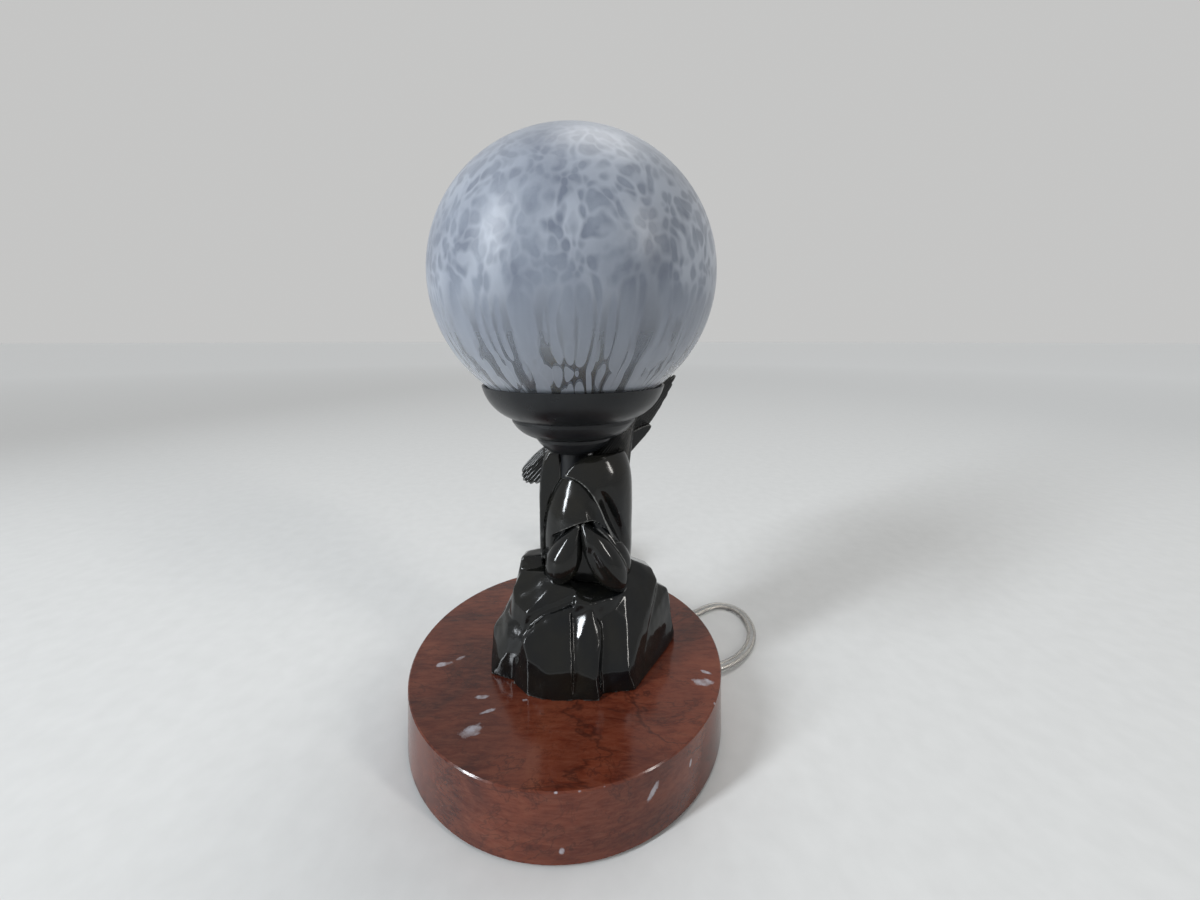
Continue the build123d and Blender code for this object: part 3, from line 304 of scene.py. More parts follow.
# %% Cloud the marble
marble = Finish("red_marble", Roughness=0.13, IOR=1.48, Specular_IOR_Level=0.42)
space = marble.place()
clouds = marble.noise(marble.place(scale=(0.6, 1, 1.3), turn=(0, 12, 8)), 24, 6, 0.62, 0.9)
red = marble.ramp(clouds, (0.28, (0.022, 0.005, 0.005)), (0.44, (0.074, 0.014, 0.007)),
                  (0.60, (0.120, 0.026, 0.012)), (0.76, (0.160, 0.046, 0.022)))
grain = marble.noise(marble.place(scale=(0.25, 1, 1.6), turn=(0, 6, 4)), 420, 4, 0.7, 0.4)
red = marble.mix(marble.ramp(grain, (0.40, 0.0), (0.75, 0.45)), red, (0.200, 0.068, 0.038))
red = marble.mix(marble.ramp(grain, (0.25, 0.40), (0.45, 0.0)), red, (0.040, 0.010, 0.008))
print("clouds and grain")

# %% [markdown]
# ## Marble: veins
# A vein is a thin crooked line. A noise passes through its middle value along just such lines, so
# its distance from 0.5 is small there, and a narrow ramp makes that dark. Noises of three scales
# give long veins, shorter ones and hair-thin ones.

# %% Draw the veins
# Each set: the scale of its noise, the width of its lines, their darkness, and the way they run.
VEINS = ((11, 0.010, 0.55, 20), (27, 0.009, 0.45, 75), (60, 0.010, 0.30, 130))
for scale, width, dark, turn in VEINS:
    line = marble.noise(marble.place(scale=(0.45, 1, 1), turn=(8, 15, turn)), scale, 6, 0.6, 1.0)
    vein = marble.math("ABSOLUTE", marble.math("SUBTRACT", line, 0.5))
    mask = marble.ramp(vein, (0.0, dark), (width, 0.0))
    red = marble.mix(mask, red, (0.018, 0.006, 0.005))
print(len(VEINS), "sets of veins")

# %% [markdown]
# ## Marble: white flecks
# These lie where the photograph has them, and noise would put them anywhere, so each has a place
# of its own. A Mapping node of the texture kind moves, turns and shrinks space until the fleck is
# a ball of radius 1, and the length of the vector then says how far out a point is. The least of
# all these distances is kept, and some noise added to it makes the outlines ragged.

# %% Lay the flecks
TOP = 28                             # height of the disc's top (mm)
# Each fleck: its middle, half its length and half its width (mm), and the way its length runs.
FLECKS = [
    ((-62.0, -14.8, TOP), 6.0, 2.0, (9, 3, 0)), ((-54.9, -10.5, TOP), 3.6, 1.6, (3, 2, 0)),
    ((-37.3, -36.0, TOP), 4.6, 1.5, (9, 1, 0)), ((-32.6, -43.9, TOP), 4.6, 1.3, (9, 4, 0)),
    ((-37.2, -54.1, TOP), 6.6, 4.2, (9, 4, 0)), ((-17.2, -37.7, TOP), 2.2, 1.0, (1, 0, 0)),
    ((66.4, -26.9, TOP), 6.6, 3.2, (9, -2, 0)), ((70.3, -20.7, TOP), 4.2, 1.4, (2, -1, 0)),
    ((37.7, -70.6, 19), 6.2, 1.8, (5, 3, 6)), ((3.2, -79.9, 6.7), 2.0, 1.6, (1, 0, 1)),
    ((54.6, -58.5, 18.7), 2.4, 0.9, (1, 1, 4)), ((1.0, -80, TOP), 1.3, 0.8, (1, 0, 0)),
    ((10, -79.4, TOP), 1.8, 0.7, (1, 0, 0)), ((19, -77.7, TOP), 1.4, 0.7, (4, 1, 0)),
    ((69.5, -39.6, TOP), 1.2, 0.9, (1, 2, 0)), ((-14, 66, TOP), 6.0, 2.4, (3, 2, 0)),
    ((46, 52, TOP), 4.5, 1.8, (-1, 5, 0)), ((-70, 38.8, 14), 5.5, 2.0, (1, 2, 2)),
    ((20, 77.4, 12), 6.0, 2.2, (3, -1, 2))]
nearest = None
for middle, half_long, half_wide, way in FLECKS:
    shifted = marble.add("Mapping", vector_type="TEXTURE")
    shifted.inputs["Location"].default_value = Vector(middle) * MM
    shifted.inputs["Rotation"].default_value = Vector(way).to_track_quat("X", "Z").to_euler()
    shifted.inputs["Scale"].default_value = (half_long * MM, half_wide * MM, half_wide * MM)
    marble.join(marble.add("TexCoord").outputs["Object"], shifted.inputs["Vector"])
    length = marble.add("VectorMath", operation="LENGTH")
    marble.join(shifted.outputs["Vector"], length.inputs[0])
    away = length.outputs["Value"]
    nearest = away if nearest is None else marble.math("MINIMUM", nearest, away)
ragged = marble.noise(space, 210, 4, 0.65)
nearest = marble.math("ADD", nearest, marble.math("MULTIPLY", ragged, 1.5))
mask = marble.ramp(marble.math("MULTIPLY", nearest, 0.5), (0.62, 0.85), (0.76, 0.0))
cloudy = marble.ramp(marble.noise(space, 330, 3), (0.35, (0.22, 0.17, 0.17)),
                     (0.62, (0.40, 0.38, 0.41)))
marble.colour(marble.mix(mask, red, cloudy))
print(len(FLECKS), "flecks")

# %% [markdown]
# ## Marble: polish
# Polished marble isn't quite even: its grain takes the polish a little differently, which breaks
# up the reflection. So the grain that colours the stone also drives roughness and a faint bump.

# %% Polish the marble
marble.rough(marble.ramp(grain, (0.3, 0.11), (0.8, 0.22)))
marble.bump(grain, 0.00006, 0.35)
wear("red marble", marble.material, "marble_base")

# %% [markdown]
# ## Black castings
# The rock and the bird are cast in white metal and have a black patina, waxed until it shines. On
# proud edges handling has rubbed it, and grey metal shows; this grey is also laid on as a painted
# highlight, for the light that the edges catch. The Pointiness of the Geometry node could find
# those edges, but it changes with the net and is lost outside Blender. So each mesh carries a
# number that says how sharply it curves outwards, and an Attribute node reads it. Low bumps keep
# the large planes from looking like glass.

# %% Mix a patina
# grey for proud edges: partly rubbed bare metal, partly a painted highlight
BARE_METAL_AND_HIGHLIGHT = (0.20, 0.20, 0.19)
BARB = 0.9                           # from one barb of a feather to the next (mm)


def patina(name, deep, warm, sheen, across=None):
    """Black patina. Feathers give the direction across them, and get barbs."""
    finish = Finish(name, IOR=1.42, Specular_IOR_Level=0.45)
    space = finish.place()
    base = finish.ramp(finish.noise(space, 45, 5, 0.6), (0.35, deep), (0.7, warm))
    # the grey on proud edges is rubbed metal and also a painted edge highlight
    worn_and_lit_edge = finish.add("Attribute", attribute_name="worn_and_lit_edge").outputs["Fac"]
    patchy = finish.noise(space, 130, 4, 0.65)
    worn = finish.ramp(finish.math("MULTIPLY", worn_and_lit_edge, patchy), (0.36, 0.0), (0.75, 0.7))
    finish.colour(finish.mix(worn, base, BARE_METAL_AND_HIGHLIGHT))
    waxed = finish.noise(space, 110, 3, 0.55)
    finish.rough(finish.ramp(waxed, (0.35, sheen), (0.7, sheen + 0.10)))
    low = finish.noise(space, 75, 2, 0.4)
    fine = finish.noise(space, 800, 3, 0.5)
    height = finish.math("ADD", low, finish.math("MULTIPLY", fine, 0.06))
    if across:
        step = finish.add("VectorMath", operation="DOT_PRODUCT")
        finish.join(space, step.inputs[0])
        step.inputs[1].default_value = Vector(across) * 2 * math.pi / (BARB * MM)
        barbs = finish.math("SINE", step.outputs["Value"])
        height = finish.math("MULTIPLY_ADD", barbs, 0.16, height)
    finish.bump(height, 0.0006, 0.6)
    return finish.material


print("helper", patina.__name__)

# %% [markdown]
# ## Patina on rock, bird and feathers
# The smooth forms are waxed to a shine, and the feathers stay duller. The feathers have fine
# barbs along them. These could be cut into the mesh, but at under a millimetre they are too fine
# for it, so a sine of the distance across the wing makes them as bump. That direction is square
# to the wing's face and to its feathers.

# %% Patina for each casting
FEATHER_DEEP, FEATHER_WARM = (0.0040, 0.0048, 0.0058), (0.0120, 0.0112, 0.0085)
rock_patina = patina("rock_patina", (0.0026, 0.0034, 0.0044), (0.0085, 0.0080, 0.0058), 0.07)
bird_patina = patina("bird_patina", (0.0032, 0.0042, 0.0052), (0.0105, 0.0098, 0.0074), 0.08)
across_right = Vector((0.35, -0.93, -0.11)).cross(Vector((0.66, 0.16, 0.73))).normalized()
across_left = Vector((-0.2, -0.96, 0.18)).cross(Vector((-0.66, 0, -0.75))).normalized()
right_feathers = patina("right_feathers", FEATHER_DEEP, FEATHER_WARM, 0.20, across_right)
left_feathers = patina("left_feathers", FEATHER_DEEP, FEATHER_WARM, 0.20, across_left)
print("patina for rock, bird and both feathered wings")

# %% [markdown]
# ## Rock and bird: an even net
# A casting has no knife edges and no true planes, and its solid has both. A bevel would round
# the edges, but where many faces meet at odd angles, as on this rock, it fails. So each solid's
# mesh is copied, its loose triangles are joined, and it is built anew from small cubes (a voxel
# remesh). That gives an even net, which can be rounded and carved like wax.


# %% Build an even net
def joined_copy(source):
    """A copy of a solid with its triangles joined."""
    made = bpy.data.objects.new(source + "_cast", bpy.data.objects[source].data.copy())
    scene.collection.objects.link(made)
    bm = bmesh.new()
    bm.from_mesh(made.data)
    bmesh.ops.remove_doubles(bm, verts=bm.verts, dist=0.01 * MM)
    bmesh.ops.recalc_face_normals(bm, faces=bm.faces)
    bm.to_mesh(made.data)
    bm.free()
    return made


def even_net(made, voxel):
    """The same form, built from cubes of one size (mm)."""
    modifier = made.modifiers.new("net", "REMESH")
    modifier.mode = "VOXEL"
    modifier.voxel_size = voxel * MM
    bpy.context.view_layer.update()
    finished = made.evaluated_get(bpy.context.evaluated_depsgraph_get())
    net = bpy.data.meshes.new_from_object(finished)
    made.modifiers.clear()
    return net


print("helpers", joined_copy.__name__, even_net.__name__)

# %% [markdown]
# ## Rock and bird: carving
# The right folded wing has a hollow beside its front edge, with a raised rim, and the right lobe
# is spooned. On the real figure a modelling tool pressed these into the wax, and it is done the
# same way here: each point near a drawn line moves in or out, most at the line and less towards
# the tool's edge and the line's ends. The points move level, away from the figure's middle.

# %% Carve along a line
FIGURE_MIDDLE = Vector((9, 2))       # x and y (mm)
NEAR_SIDE = 6                        # only points nearer to the camera than this y are carved


def carve(bm, line, radius, height):
    """Press a hollow (height below 0) or raise a bead along a line of (x, z) on the near side."""
    line = [Vector(p) for p in line]
    for v in bm.verts:
        x, y, z = v.co / MM
        if y > NEAR_SIDE:
            continue
        at, nearest, share = Vector((x, z)), radius, 0.0
        for k, (a, b) in enumerate(zip(line, line[1:])):
            along = min(1.0, max(0.0, (at - a).dot(b - a) / (b - a).length_squared))
            away = (at - a.lerp(b, along)).length
            if away < nearest:
                nearest, share = away, (k + along) / (len(line) - 1)
        if nearest < radius:
            fade = min(1.0, 4 * share, 4 * (1 - share))
            amount = height * (1 - (nearest / radius) ** 2) ** 2 * fade * fade * (3 - 2 * fade)
            out = (Vector((x, y)) - FIGURE_MIDDLE).normalized()
            v.co += Vector((out.x, out.y, 0)) * amount * MM


# Each stroke: its line of (x, z), the tool's radius, and how far it presses in or out (mm).
WING_HOLLOW = ([(18.5, 119), (21.5, 109), (24.8, 99), (27.6, 90), (30.2, 80)], 4.8, -2.1)
WING_RIM = ([(-2, 124.4), (7, 119.5), (15.1, 110.8), (20, 102), (24.2, 93.4), (28.5, 84),
             (33, 74)], 1.5, 0.7)
LOBE_SPOON = ([(10.5, 92), (13.5, 86), (17, 80), (22, 73.5), (26, 69)], 4.4, -1.7)
print("strokes of", WING_HOLLOW[2], WING_RIM[2], "and", LOBE_SPOON[2], "mm")

# %% [markdown]
# ## Rock and bird: rounding
# Smoothing moves each point of the net towards its neighbours, and the more passes, the wider the
# rounding. Noise then moves the points a little along their normals, so that planes wander as
# hand-worked wax does. A skin that lies on the body is also made a little proud, so that its edge
# still stands out after the rounding. The foot of a piece stays down on what carries it.

# %% Round a net
LARGE_LUMP, SMALL_LUMP = 10, 4       # size of the lumps (mm)
FOOT = 2                             # the movement grows over this height (mm)


def soften(net, passes, proud, wander, strokes):
    """Round a net, let its planes wander, and carve it."""
    bm = bmesh.new()
    bm.from_mesh(net)
    for _ in range(passes):
        bmesh.ops.smooth_vert(bm, verts=bm.verts, factor=0.5, use_axis_x=True, use_axis_y=True,
                              use_axis_z=True)
    bm.normal_update()
    foot = min(v.co.z for v in bm.verts)
    for v in bm.verts:
        lump = (noise.noise(v.co / (LARGE_LUMP * MM))
                + 0.3 * noise.noise(v.co / (SMALL_LUMP * MM)))
        rise = min(1.0, (v.co.z - foot) / (FOOT * MM))
        v.co += v.normal * (proud + wander * lump) * rise * MM
    for line, radius, height in strokes:
        carve(bm, line, radius, height)
    bm.to_mesh(net)
    bm.free()


print("helper", soften.__name__)

# %% [markdown]
# ## Rock and bird: rubbed and highlighted edges
# Hands and cloths reach the proud edges first, and the same edges carry a painted highlight, so the
# patina has to know where they are. Along each edge of the net, the normals at its two ends spread
# apart where the form curves outwards.
# Their spread over the length of the edge is averaged at each point, and is then evened out among
# neighbours. A net has tens of thousands of points, so whole columns of numbers are worked at once.

# %% Measure how a net curves
EVENING_PASSES = 6


def curl(net):
    """How sharply a net of points curves outwards, at each point, per millimetre."""
    count = len(net.vertices)
    place, normal = np.empty(count * 3), np.empty(count * 3)
    net.vertices.foreach_get("co", place)
    net.vertices.foreach_get("normal", normal)
    place, normal = place.reshape(-1, 3) / MM, normal.reshape(-1, 3)
    ends = np.empty(len(net.edges) * 2, dtype=int)
    net.edges.foreach_get("vertices", ends)
    a, b = ends.reshape(-1, 2).T
    step = place[a] - place[b]
    length = np.maximum((step**2).sum(axis=1), 1e-4)
    near = np.bincount(a, minlength=count) + np.bincount(b, minlength=count)
    out = (np.bincount(a, (normal[a] * step).sum(axis=1) / length, count)
           - np.bincount(b, (normal[b] * step).sum(axis=1) / length, count)) * 4 / near
    for _ in range(EVENING_PASSES):
        out = (out + (np.bincount(a, out[b], count) + np.bincount(b, out[a], count)) / near) / 2
    return out


print("helper", curl.__name__)

# %% [markdown]
# ## Rock and bird: casting
# Each piece goes through all the steps above, and then stands for its solid. The size of its
# cubes follows its forms. The rock's facets are large and take 0.7 mm. The folded wings have thin
# edges that would look frayed at that size, so they take 0.31 mm and the most passes. The
# feathers lie in low steps, which more than three passes would wash out.


# %% Cast a piece
def cast(source, voxel, passes, material, proud=0.0, wander=0.0, strokes=()):
    made = joined_copy(source)
    net = even_net(made, voxel)
    soften(net, passes, proud, wander, strokes)
    made.data = net
    # this number marks where rubbed metal and a painted edge highlight go
    net.attributes.new("worn_and_lit_edge", "FLOAT", "POINT").data.foreach_set("value", curl(net))
    net.materials.clear()
    net.materials.append(material)
    net.shade_smooth()
    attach(made, "lamp")
    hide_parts(source)
    print(made.name, len(net.polygons), "faces")


cast("rock_casting", 0.7, 4, rock_patina, wander=0.45)
cast("bird_body", 0.40, 9, bird_patina, wander=0.12, strokes=[WING_HOLLOW])
cast("bird_head", 0.5, 5, bird_patina, wander=0.12)
cast("right_wing_folded", 0.31, 11, bird_patina, proud=0.3, wander=0.10,
     strokes=[WING_HOLLOW, WING_RIM])
cast("left_wing_folded", 0.31, 11, bird_patina, proud=0.3, wander=0.10)
cast("tail_lobe_right", 0.35, 6, bird_patina, proud=0.15, wander=0.12, strokes=[LOBE_SPOON])
for piece in ("tail_lobe_left", "tail_blade"):
    cast(piece, 0.35, 6, bird_patina, proud=0.15, wander=0.12)
cast("right_wing_raised", 0.32, 3, right_feathers, proud=0.2)
cast("left_wing_fan", 0.32, 3, left_feathers, proud=0.1)

# %% [markdown]
# ## Cup and column
# The cup is spun from sheet steel and sprayed satin black, and so is the column under it. Spun
# metal is even, so the solids stay as they are. Next to the waxed castings it looks smoother and
# duller: its colour hardly changes, its sheen is soft, and its bump is only the grain of paint.

# %% Mix the satin black
satin = Finish("satin_black", IOR=1.40, Specular_IOR_Level=0.45)
space = satin.place()
satin.colour(satin.ramp(satin.noise(space, 60, 4), (0.3, (0.0060, 0.0070, 0.0085)),
                        (0.7, (0.0120, 0.0130, 0.0145))))
satin.rough(satin.ramp(satin.noise(space, 130, 3), (0.3, 0.27), (0.7, 0.38)))
satin.bump(satin.noise(space, 1500, 2), 0.00003, 0.4)
wear("satin black", satin.material, "cup", "spacer_tube")

# %% [markdown]
# ## Glass ball: directions
# The ball is blown from clear glass rolled in white chips, and then dulled with acid. The chips
# melt into soft flecks with a paler net between them. A pattern cut out of flat space would be
# stretched where it meets the ball at a slant. So it is laid on the ball's directions: the way
# from the middle of the ball to each point, which also says how high up the point is.

# %% Find the directions on the ball
BALL_R = 75                          # mm
glass = Finish("mottled_glass", IOR=1.45, Specular_IOR_Level=0.4, Sheen_Weight=0.25,
               Sheen_Roughness=0.45)
low_corner, high_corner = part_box("globe")
ball_middle = [(low_corner[k] + high_corner[k]) / 2 for k in (0, 1)]
ball_middle.append(high_corner[2] - BALL_R * MM)
centred = glass.add("VectorMath", operation="SUBTRACT")
glass.join(glass.add("TexCoord").outputs["Object"], centred.inputs[0])
centred.inputs[1].default_value = ball_middle
way = glass.add("VectorMath", operation="NORMALIZE")
glass.join(centred.outputs["Vector"], way.inputs[0])
parts = glass.add("SeparateXYZ")
glass.join(way.outputs["Vector"], parts.inputs["Vector"])
up = parts.outputs["Z"]
share_up = glass.math("MULTIPLY_ADD", up, 0.5, 0.5)
print("middle of the ball", [round(v, 4) for v in ball_middle])

# %% [markdown]
# ## Glass ball: drawn out near the neck
# Near the neck the glass was drawn out while it was soft, and the flecks are long there. Low down
# the height is therefore made to count for little, so that only the angle round the axis changes
# the pattern and each fleck becomes a long petal. Further up, the directions are only squeezed a
# little, and a smooth change leads from the one to the other. A slow noise bends the whole.

# %% Stretch the pattern
PETALS_TO, ROUND_FROM = 0.17, 0.42   # shares of the ball's height
low = glass.ramp(share_up, (PETALS_TO, 1.0), (ROUND_FROM, 0.0))
flattened = glass.add("CombineXYZ")
glass.join(parts.outputs["X"], flattened.inputs["X"])
glass.join(parts.outputs["Y"], flattened.inputs["Y"])
glass.join(glass.math("MULTIPLY", up, 0.13), flattened.inputs["Z"])
round_axis = glass.add("VectorMath", operation="NORMALIZE")
glass.join(flattened.outputs["Vector"], round_axis.inputs[0])
squeezed = glass.add("VectorMath", operation="MULTIPLY")
glass.join(way.outputs["Vector"], squeezed.inputs[0])
squeezed.inputs[1].default_value = (1.0, 1.0, 0.72)
pattern_way = glass.mix(low, squeezed.outputs["Vector"], round_axis.outputs["Vector"])
wobble = glass.add("TexNoise", Scale=4.0, Detail=2.0)
glass.join(pattern_way, wobble.inputs["Vector"])
bent = glass.add("VectorMath", operation="MULTIPLY_ADD")
glass.join(wobble.outputs["Color"], bent.inputs[0])
bent.inputs[1].default_value = (0.30, 0.30, 0.22)
glass.join(pattern_way, bent.inputs[2])
print("petals up to", PETALS_TO, "of the height, round flecks from", ROUND_FROM)

# %% [markdown]
# ## Glass ball: flecks and net
# Noise has no cells, and the flecks are cells, so a smoothed Voronoi pattern makes them: its
# distance is small in the middle of a cell and large between cells, where the net is. The net is
# plain in some regions and faint in others, and it fades towards the top, where the photograph
# shows hardly any. The flecks are darkened at the top as painted shade, and whitened low down as
# painted light.

# %% Colour the flecks and the net
FLECKS_PER_RADIUS = 15.5
FLECK_DARK, FLECK_PALE, NET = (0.190, 0.218, 0.280), (0.290, 0.327, 0.395), (0.45, 0.49, 0.56)
# painted shade for the top of the ball, and painted light for its lower part near the neck
SHADED_TOP, LIT_NEAR_NECK = (0.150, 0.170, 0.215), (0.38, 0.41, 0.46)
chips = glass.add("TexVoronoi", feature="SMOOTH_F1", Scale=FLECKS_PER_RADIUS, Smoothness=0.32)
glass.join(bent.outputs["Vector"], chips.inputs["Vector"])
between = chips.outputs["Distance"]
net = glass.ramp(between, (0.38, 0.0), (0.54, 0.55), (0.68, 1.0))
dense = glass.ramp(glass.noise(way.outputs["Vector"], 1.7, 2), (0.38, 0.35), (0.60, 1.0))
crisp = glass.ramp(share_up, (0.55, 1.0), (0.90, 0.30))
net = glass.math("MULTIPLY", glass.math("MULTIPLY", net, dense), crisp)
fleck = glass.ramp(glass.noise(pattern_way, 5.5, 4, 0.6), (0.35, FLECK_DARK), (0.65, FLECK_PALE))
# painted shade darkens the top of the ball, and painted light whitens it low down
fleck = glass.mix(glass.ramp(share_up, (0.60, 0.0), (1.0, 0.6)), fleck, SHADED_TOP)
fleck = glass.mix(glass.math("MULTIPLY", low, 0.65), fleck, LIT_NEAR_NECK)
glass.colour(glass.mix(net, fleck, NET))
print("flecks of about", round(BALL_R / FLECKS_PER_RADIUS, 1), "mm")

# %% [markdown]
# ## Glass ball: clear gaps and bloom
# Between the petals near the neck the glass is clear, and the holder shows through as something
# dark. There it lets more light through and is smoother. All over, the acid has left a bloom,
# which a little sheen gives, and the flecks stand out slightly.

# %% Clear the gaps
clear = glass.math("MULTIPLY", low, glass.ramp(between, (0.44, 0.0), (0.66, 1.0)))
glass.join(glass.math("MULTIPLY_ADD", clear, 0.60, 0.30),
           glass.main.inputs["Transmission Weight"])
glass.rough(glass.math("MULTIPLY_ADD", clear, -0.16, 0.36))
glass.bump(between, 0.0005, 0.2)
wear("mottled glass", glass.material, "globe")

# %% [markdown]
# ## Metal
# Little of the metal shows through the ball, but it does when the ball is lifted off. Drawn and
# turned metal has fine lines round its axis. A wave of rings would be too regular, so the lines
# are a noise that is squeezed along the axis twelve times. Dull patches show where it was handled.


# %% Mix the turned metals
def turned_metal(name, colour, worn, rough=0.28):
    finish = Finish(name, Metallic=1.0)
    space = finish.place(scale=(1, 1, 12))
    lines = finish.noise(space, 160, 3, 0.6)
    patches = finish.noise(finish.place(), 90, 4)
    finish.colour(finish.ramp(patches, (0.3, worn), (0.65, colour)))
    finish.rough(finish.ramp(lines, (0.3, rough - 0.08), (0.7, rough + 0.10)))
    finish.bump(lines, 0.00004, 0.5)
    return finish.material


wear("zinc", turned_metal("zinc_plate", (0.60, 0.60, 0.58), (0.45, 0.45, 0.42)), "lamp_tube",
     "base_washer", "base_nut", "cup_washer", "cup_nut", "rock_screws", "terminal_screws",
     "rocker_pin", "switch_screws")
wear("brass", turned_metal("drawn_brass", (0.74, 0.54, 0.22), (0.50, 0.36, 0.14)), "holder_cap",
     "holder_shell", "screw_liner", "centre_contact", "bulb_contact")
wear("nickel", turned_metal("nickel_pin", (0.70, 0.68, 0.62), (0.58, 0.55, 0.48), 0.2),
     "plug_pins")
wear("aluminium", turned_metal("bulb_thread", (0.76, 0.76, 0.75), (0.62, 0.62, 0.60)),
     "bulb_cap")

# %% [markdown]
# ## Ceramic
# The white insert in the holder is glazed ceramic. The glaze is a clear coat of its own, so the
# shader's coat makes it, over a slightly uneven body with tiny dark specks from the kiln.

# %% Mix the ceramic
ceramic = Finish("glazed_ceramic", Roughness=0.15, Coat_Weight=0.4, Coat_Roughness=0.05)
specks = ceramic.noise(ceramic.place(), 900, 2)
ceramic.colour(ceramic.ramp(specks, (0.35, (0.74, 0.73, 0.68)), (0.45, (0.84, 0.83, 0.79))))
ceramic.bump(ceramic.noise(ceramic.place(), 160, 3), 0.0001, 0.3)
wear("ceramic", ceramic.material, "ceramic_insert")

# %% [markdown]
# ## Bulb
# A frosted bulb. It doesn't need to be seen through, so it isn't all glass to the shader: three
# quarters of the light goes through, and the rest gives it its white body. Its finest bump is the
# etching. The ring round its lower contact is black glass.

# %% Mix the bulb's glass
insulation = Finish("bulb_insulation", Roughness=0.2)
insulation.colour(insulation.ramp(insulation.noise(insulation.place(), 400, 2),
                                  (0.3, (0.012, 0.012, 0.016)), (0.7, (0.04, 0.04, 0.05))))
wear("black glass", insulation.material, "bulb_insulator")

frosted = Finish("frosted_bulb", (0.93, 0.92, 0.88), IOR=1.45, Transmission_Weight=0.75)
frosted.rough(frosted.ramp(frosted.noise(frosted.place(), 300, 3), (0.3, 0.42), (0.7, 0.55)))
frosted.bump(frosted.noise(frosted.place(), 2500, 2), 0.00002, 0.3)
wear("frosted glass", frosted.material, "bulb_glass", "bulb_mount")

# %% [markdown]
# ## Felt
# The pad under the disc is green felt. Hair would be real but costly for something that is seen
# only when the lamp is turned over. A rough surface with strong fine bump has the nap, and sheen
# gives the pale rim that short fibres show against the light.

# %% Mix the felt
felt = Finish("green_felt", Roughness=0.95, Sheen_Weight=0.4, Sheen_Roughness=0.5)
nap = felt.noise(felt.place(), 1400, 4, 0.8)
felt.colour(felt.ramp(nap, (0.3, (0.012, 0.030, 0.018)), (0.7, (0.035, 0.065, 0.040))))
felt.bump(nap, 0.0004, 0.8)
wear("felt", felt.material, "felt_pad")

# %% [markdown]
# ## Clear plastic
# The shells of the switch and the plug are moulded from clear plastic. Glass would look too
# clean: thick clear plastic is a little yellow and milky, so only about half of the light goes
# through, and the mould has left a faint orange peel under a gloss that the coat gives.

# %% Mix the clear plastic
moulded = Finish("clear_moulding", IOR=1.49, Transmission_Weight=0.55, Coat_Weight=0.3,
                 Coat_Roughness=0.08)
peel = moulded.noise(moulded.place(), 420, 2)
moulded.colour(moulded.ramp(moulded.noise(moulded.place(), 60, 3), (0.3, (0.76, 0.75, 0.69)),
                            (0.7, (0.84, 0.83, 0.79))))
moulded.rough(moulded.ramp(peel, (0.3, 0.14), (0.7, 0.24)))
moulded.bump(peel, 0.00008, 0.5)
wear("clear plastic", moulded.material, "switch_lower_shell", "switch_upper_shell", "plug_body")

# %% [markdown]
# ## Rocker and rubber
# The rocker is white plastic with a fine texture that fingers grip. The tie of the coil and the
# bush in the disc are black rubber, which is never quite black: dust lies in its pores.

# %% Mix the white plastic and the rubber
rocker = Finish("rocker_plastic", Roughness=0.35)
rocker.colour(rocker.ramp(rocker.noise(rocker.place(), 120, 3), (0.3, (0.70, 0.69, 0.64)),
                          (0.7, (0.78, 0.77, 0.72))))
rocker.bump(rocker.noise(rocker.place(), 900, 2), 0.00005, 0.4)
wear("white plastic", rocker.material, "switch_rocker")

rubber = Finish("black_rubber", Roughness=0.65)
dust = rubber.noise(rubber.place(), 700, 4, 0.7)
rubber.colour(rubber.ramp(dust, (0.35, (0.016, 0.016, 0.016)), (0.8, (0.045, 0.044, 0.042))))
rubber.bump(dust, 0.0001, 0.6)
wear("rubber", rubber.material, "coil_tie", "flex_grommet")

# %% [markdown]
# ## Flex: from the disc to the coil
# Clear flat twin flex, 5.6 mm wide. It leaves the rim of the disc, makes the small loop that the
# photograph shows, and goes behind the base to a switch. A flex bends under its own weight in
# slow curves, so its route is only a few listed points, and a spline will round them. These
# are the points that the solid flex follows too.

# %% Route to the coil
BASE_R = 80.0                        # the disc (mm, as all that follows)
AXIS_X = 3.1                         # the lamp's rod stands this far right of the disc's middle
EXIT_ANGLE = 11.5                    # where the flex leaves the rim, from +X towards +Y
EXIT_Z = 3.2
FLEX_W, FLEX_T = 5.6, 2.8
CLEAR = 0.3
FLOOR_Z = 1.45                       # the middle of the flex where it lies on the table
SWITCH_ANGLE = 70                    # where the switch lies behind the base
SWITCH_FROM_MIDDLE = 91
SWITCH_HALF = 27                     # half its length
SWITCH_WALL = 1.6
RUN = 13                             # straight out of the disc and into the switch
COIL_LIFT = 1.0                      # room for the tie under the coil
COIL_START_Z = COIL_LIFT + FLEX_T / 2


def polar(angle):
    """A level direction, at this angle from +X towards +Y."""
    return Vector((math.cos(math.radians(angle)), math.sin(math.radians(angle)), 0))


exit_way = polar(EXIT_ANGLE)
reach = math.sqrt(BASE_R**2 - (AXIS_X * exit_way.y) ** 2) - AXIS_X * exit_way.x
flex_exit = Vector((AXIS_X, 0, EXIT_Z)) + exit_way * reach
switch_way = polar(SWITCH_ANGLE + 90)
switch_centre = polar(SWITCH_ANGLE) * SWITCH_FROM_MIDDLE
switch_centre.z = SWITCH_WALL + FLEX_T / 2 + CLEAR
route = [flex_exit, flex_exit + exit_way * RUN]
route += [Vector((x, y, FLOOR_Z)) for x, y in [
    (107, 32.5), (116, 47), (118.5, 62), (115.5, 75.5), (104, 82), (92, 77), (82.5, 69.3)]]
for along in (-SWITCH_HALF - RUN, -SWITCH_HALF, 0, SWITCH_HALF, SWITCH_HALF + 1.4 * RUN):
    route.append(switch_centre + switch_way * along)
route += [Vector((-26, 116.5, FLOOR_Z)), Vector((-29, 133, COIL_START_Z))]
print(len(route), "points to the coil")

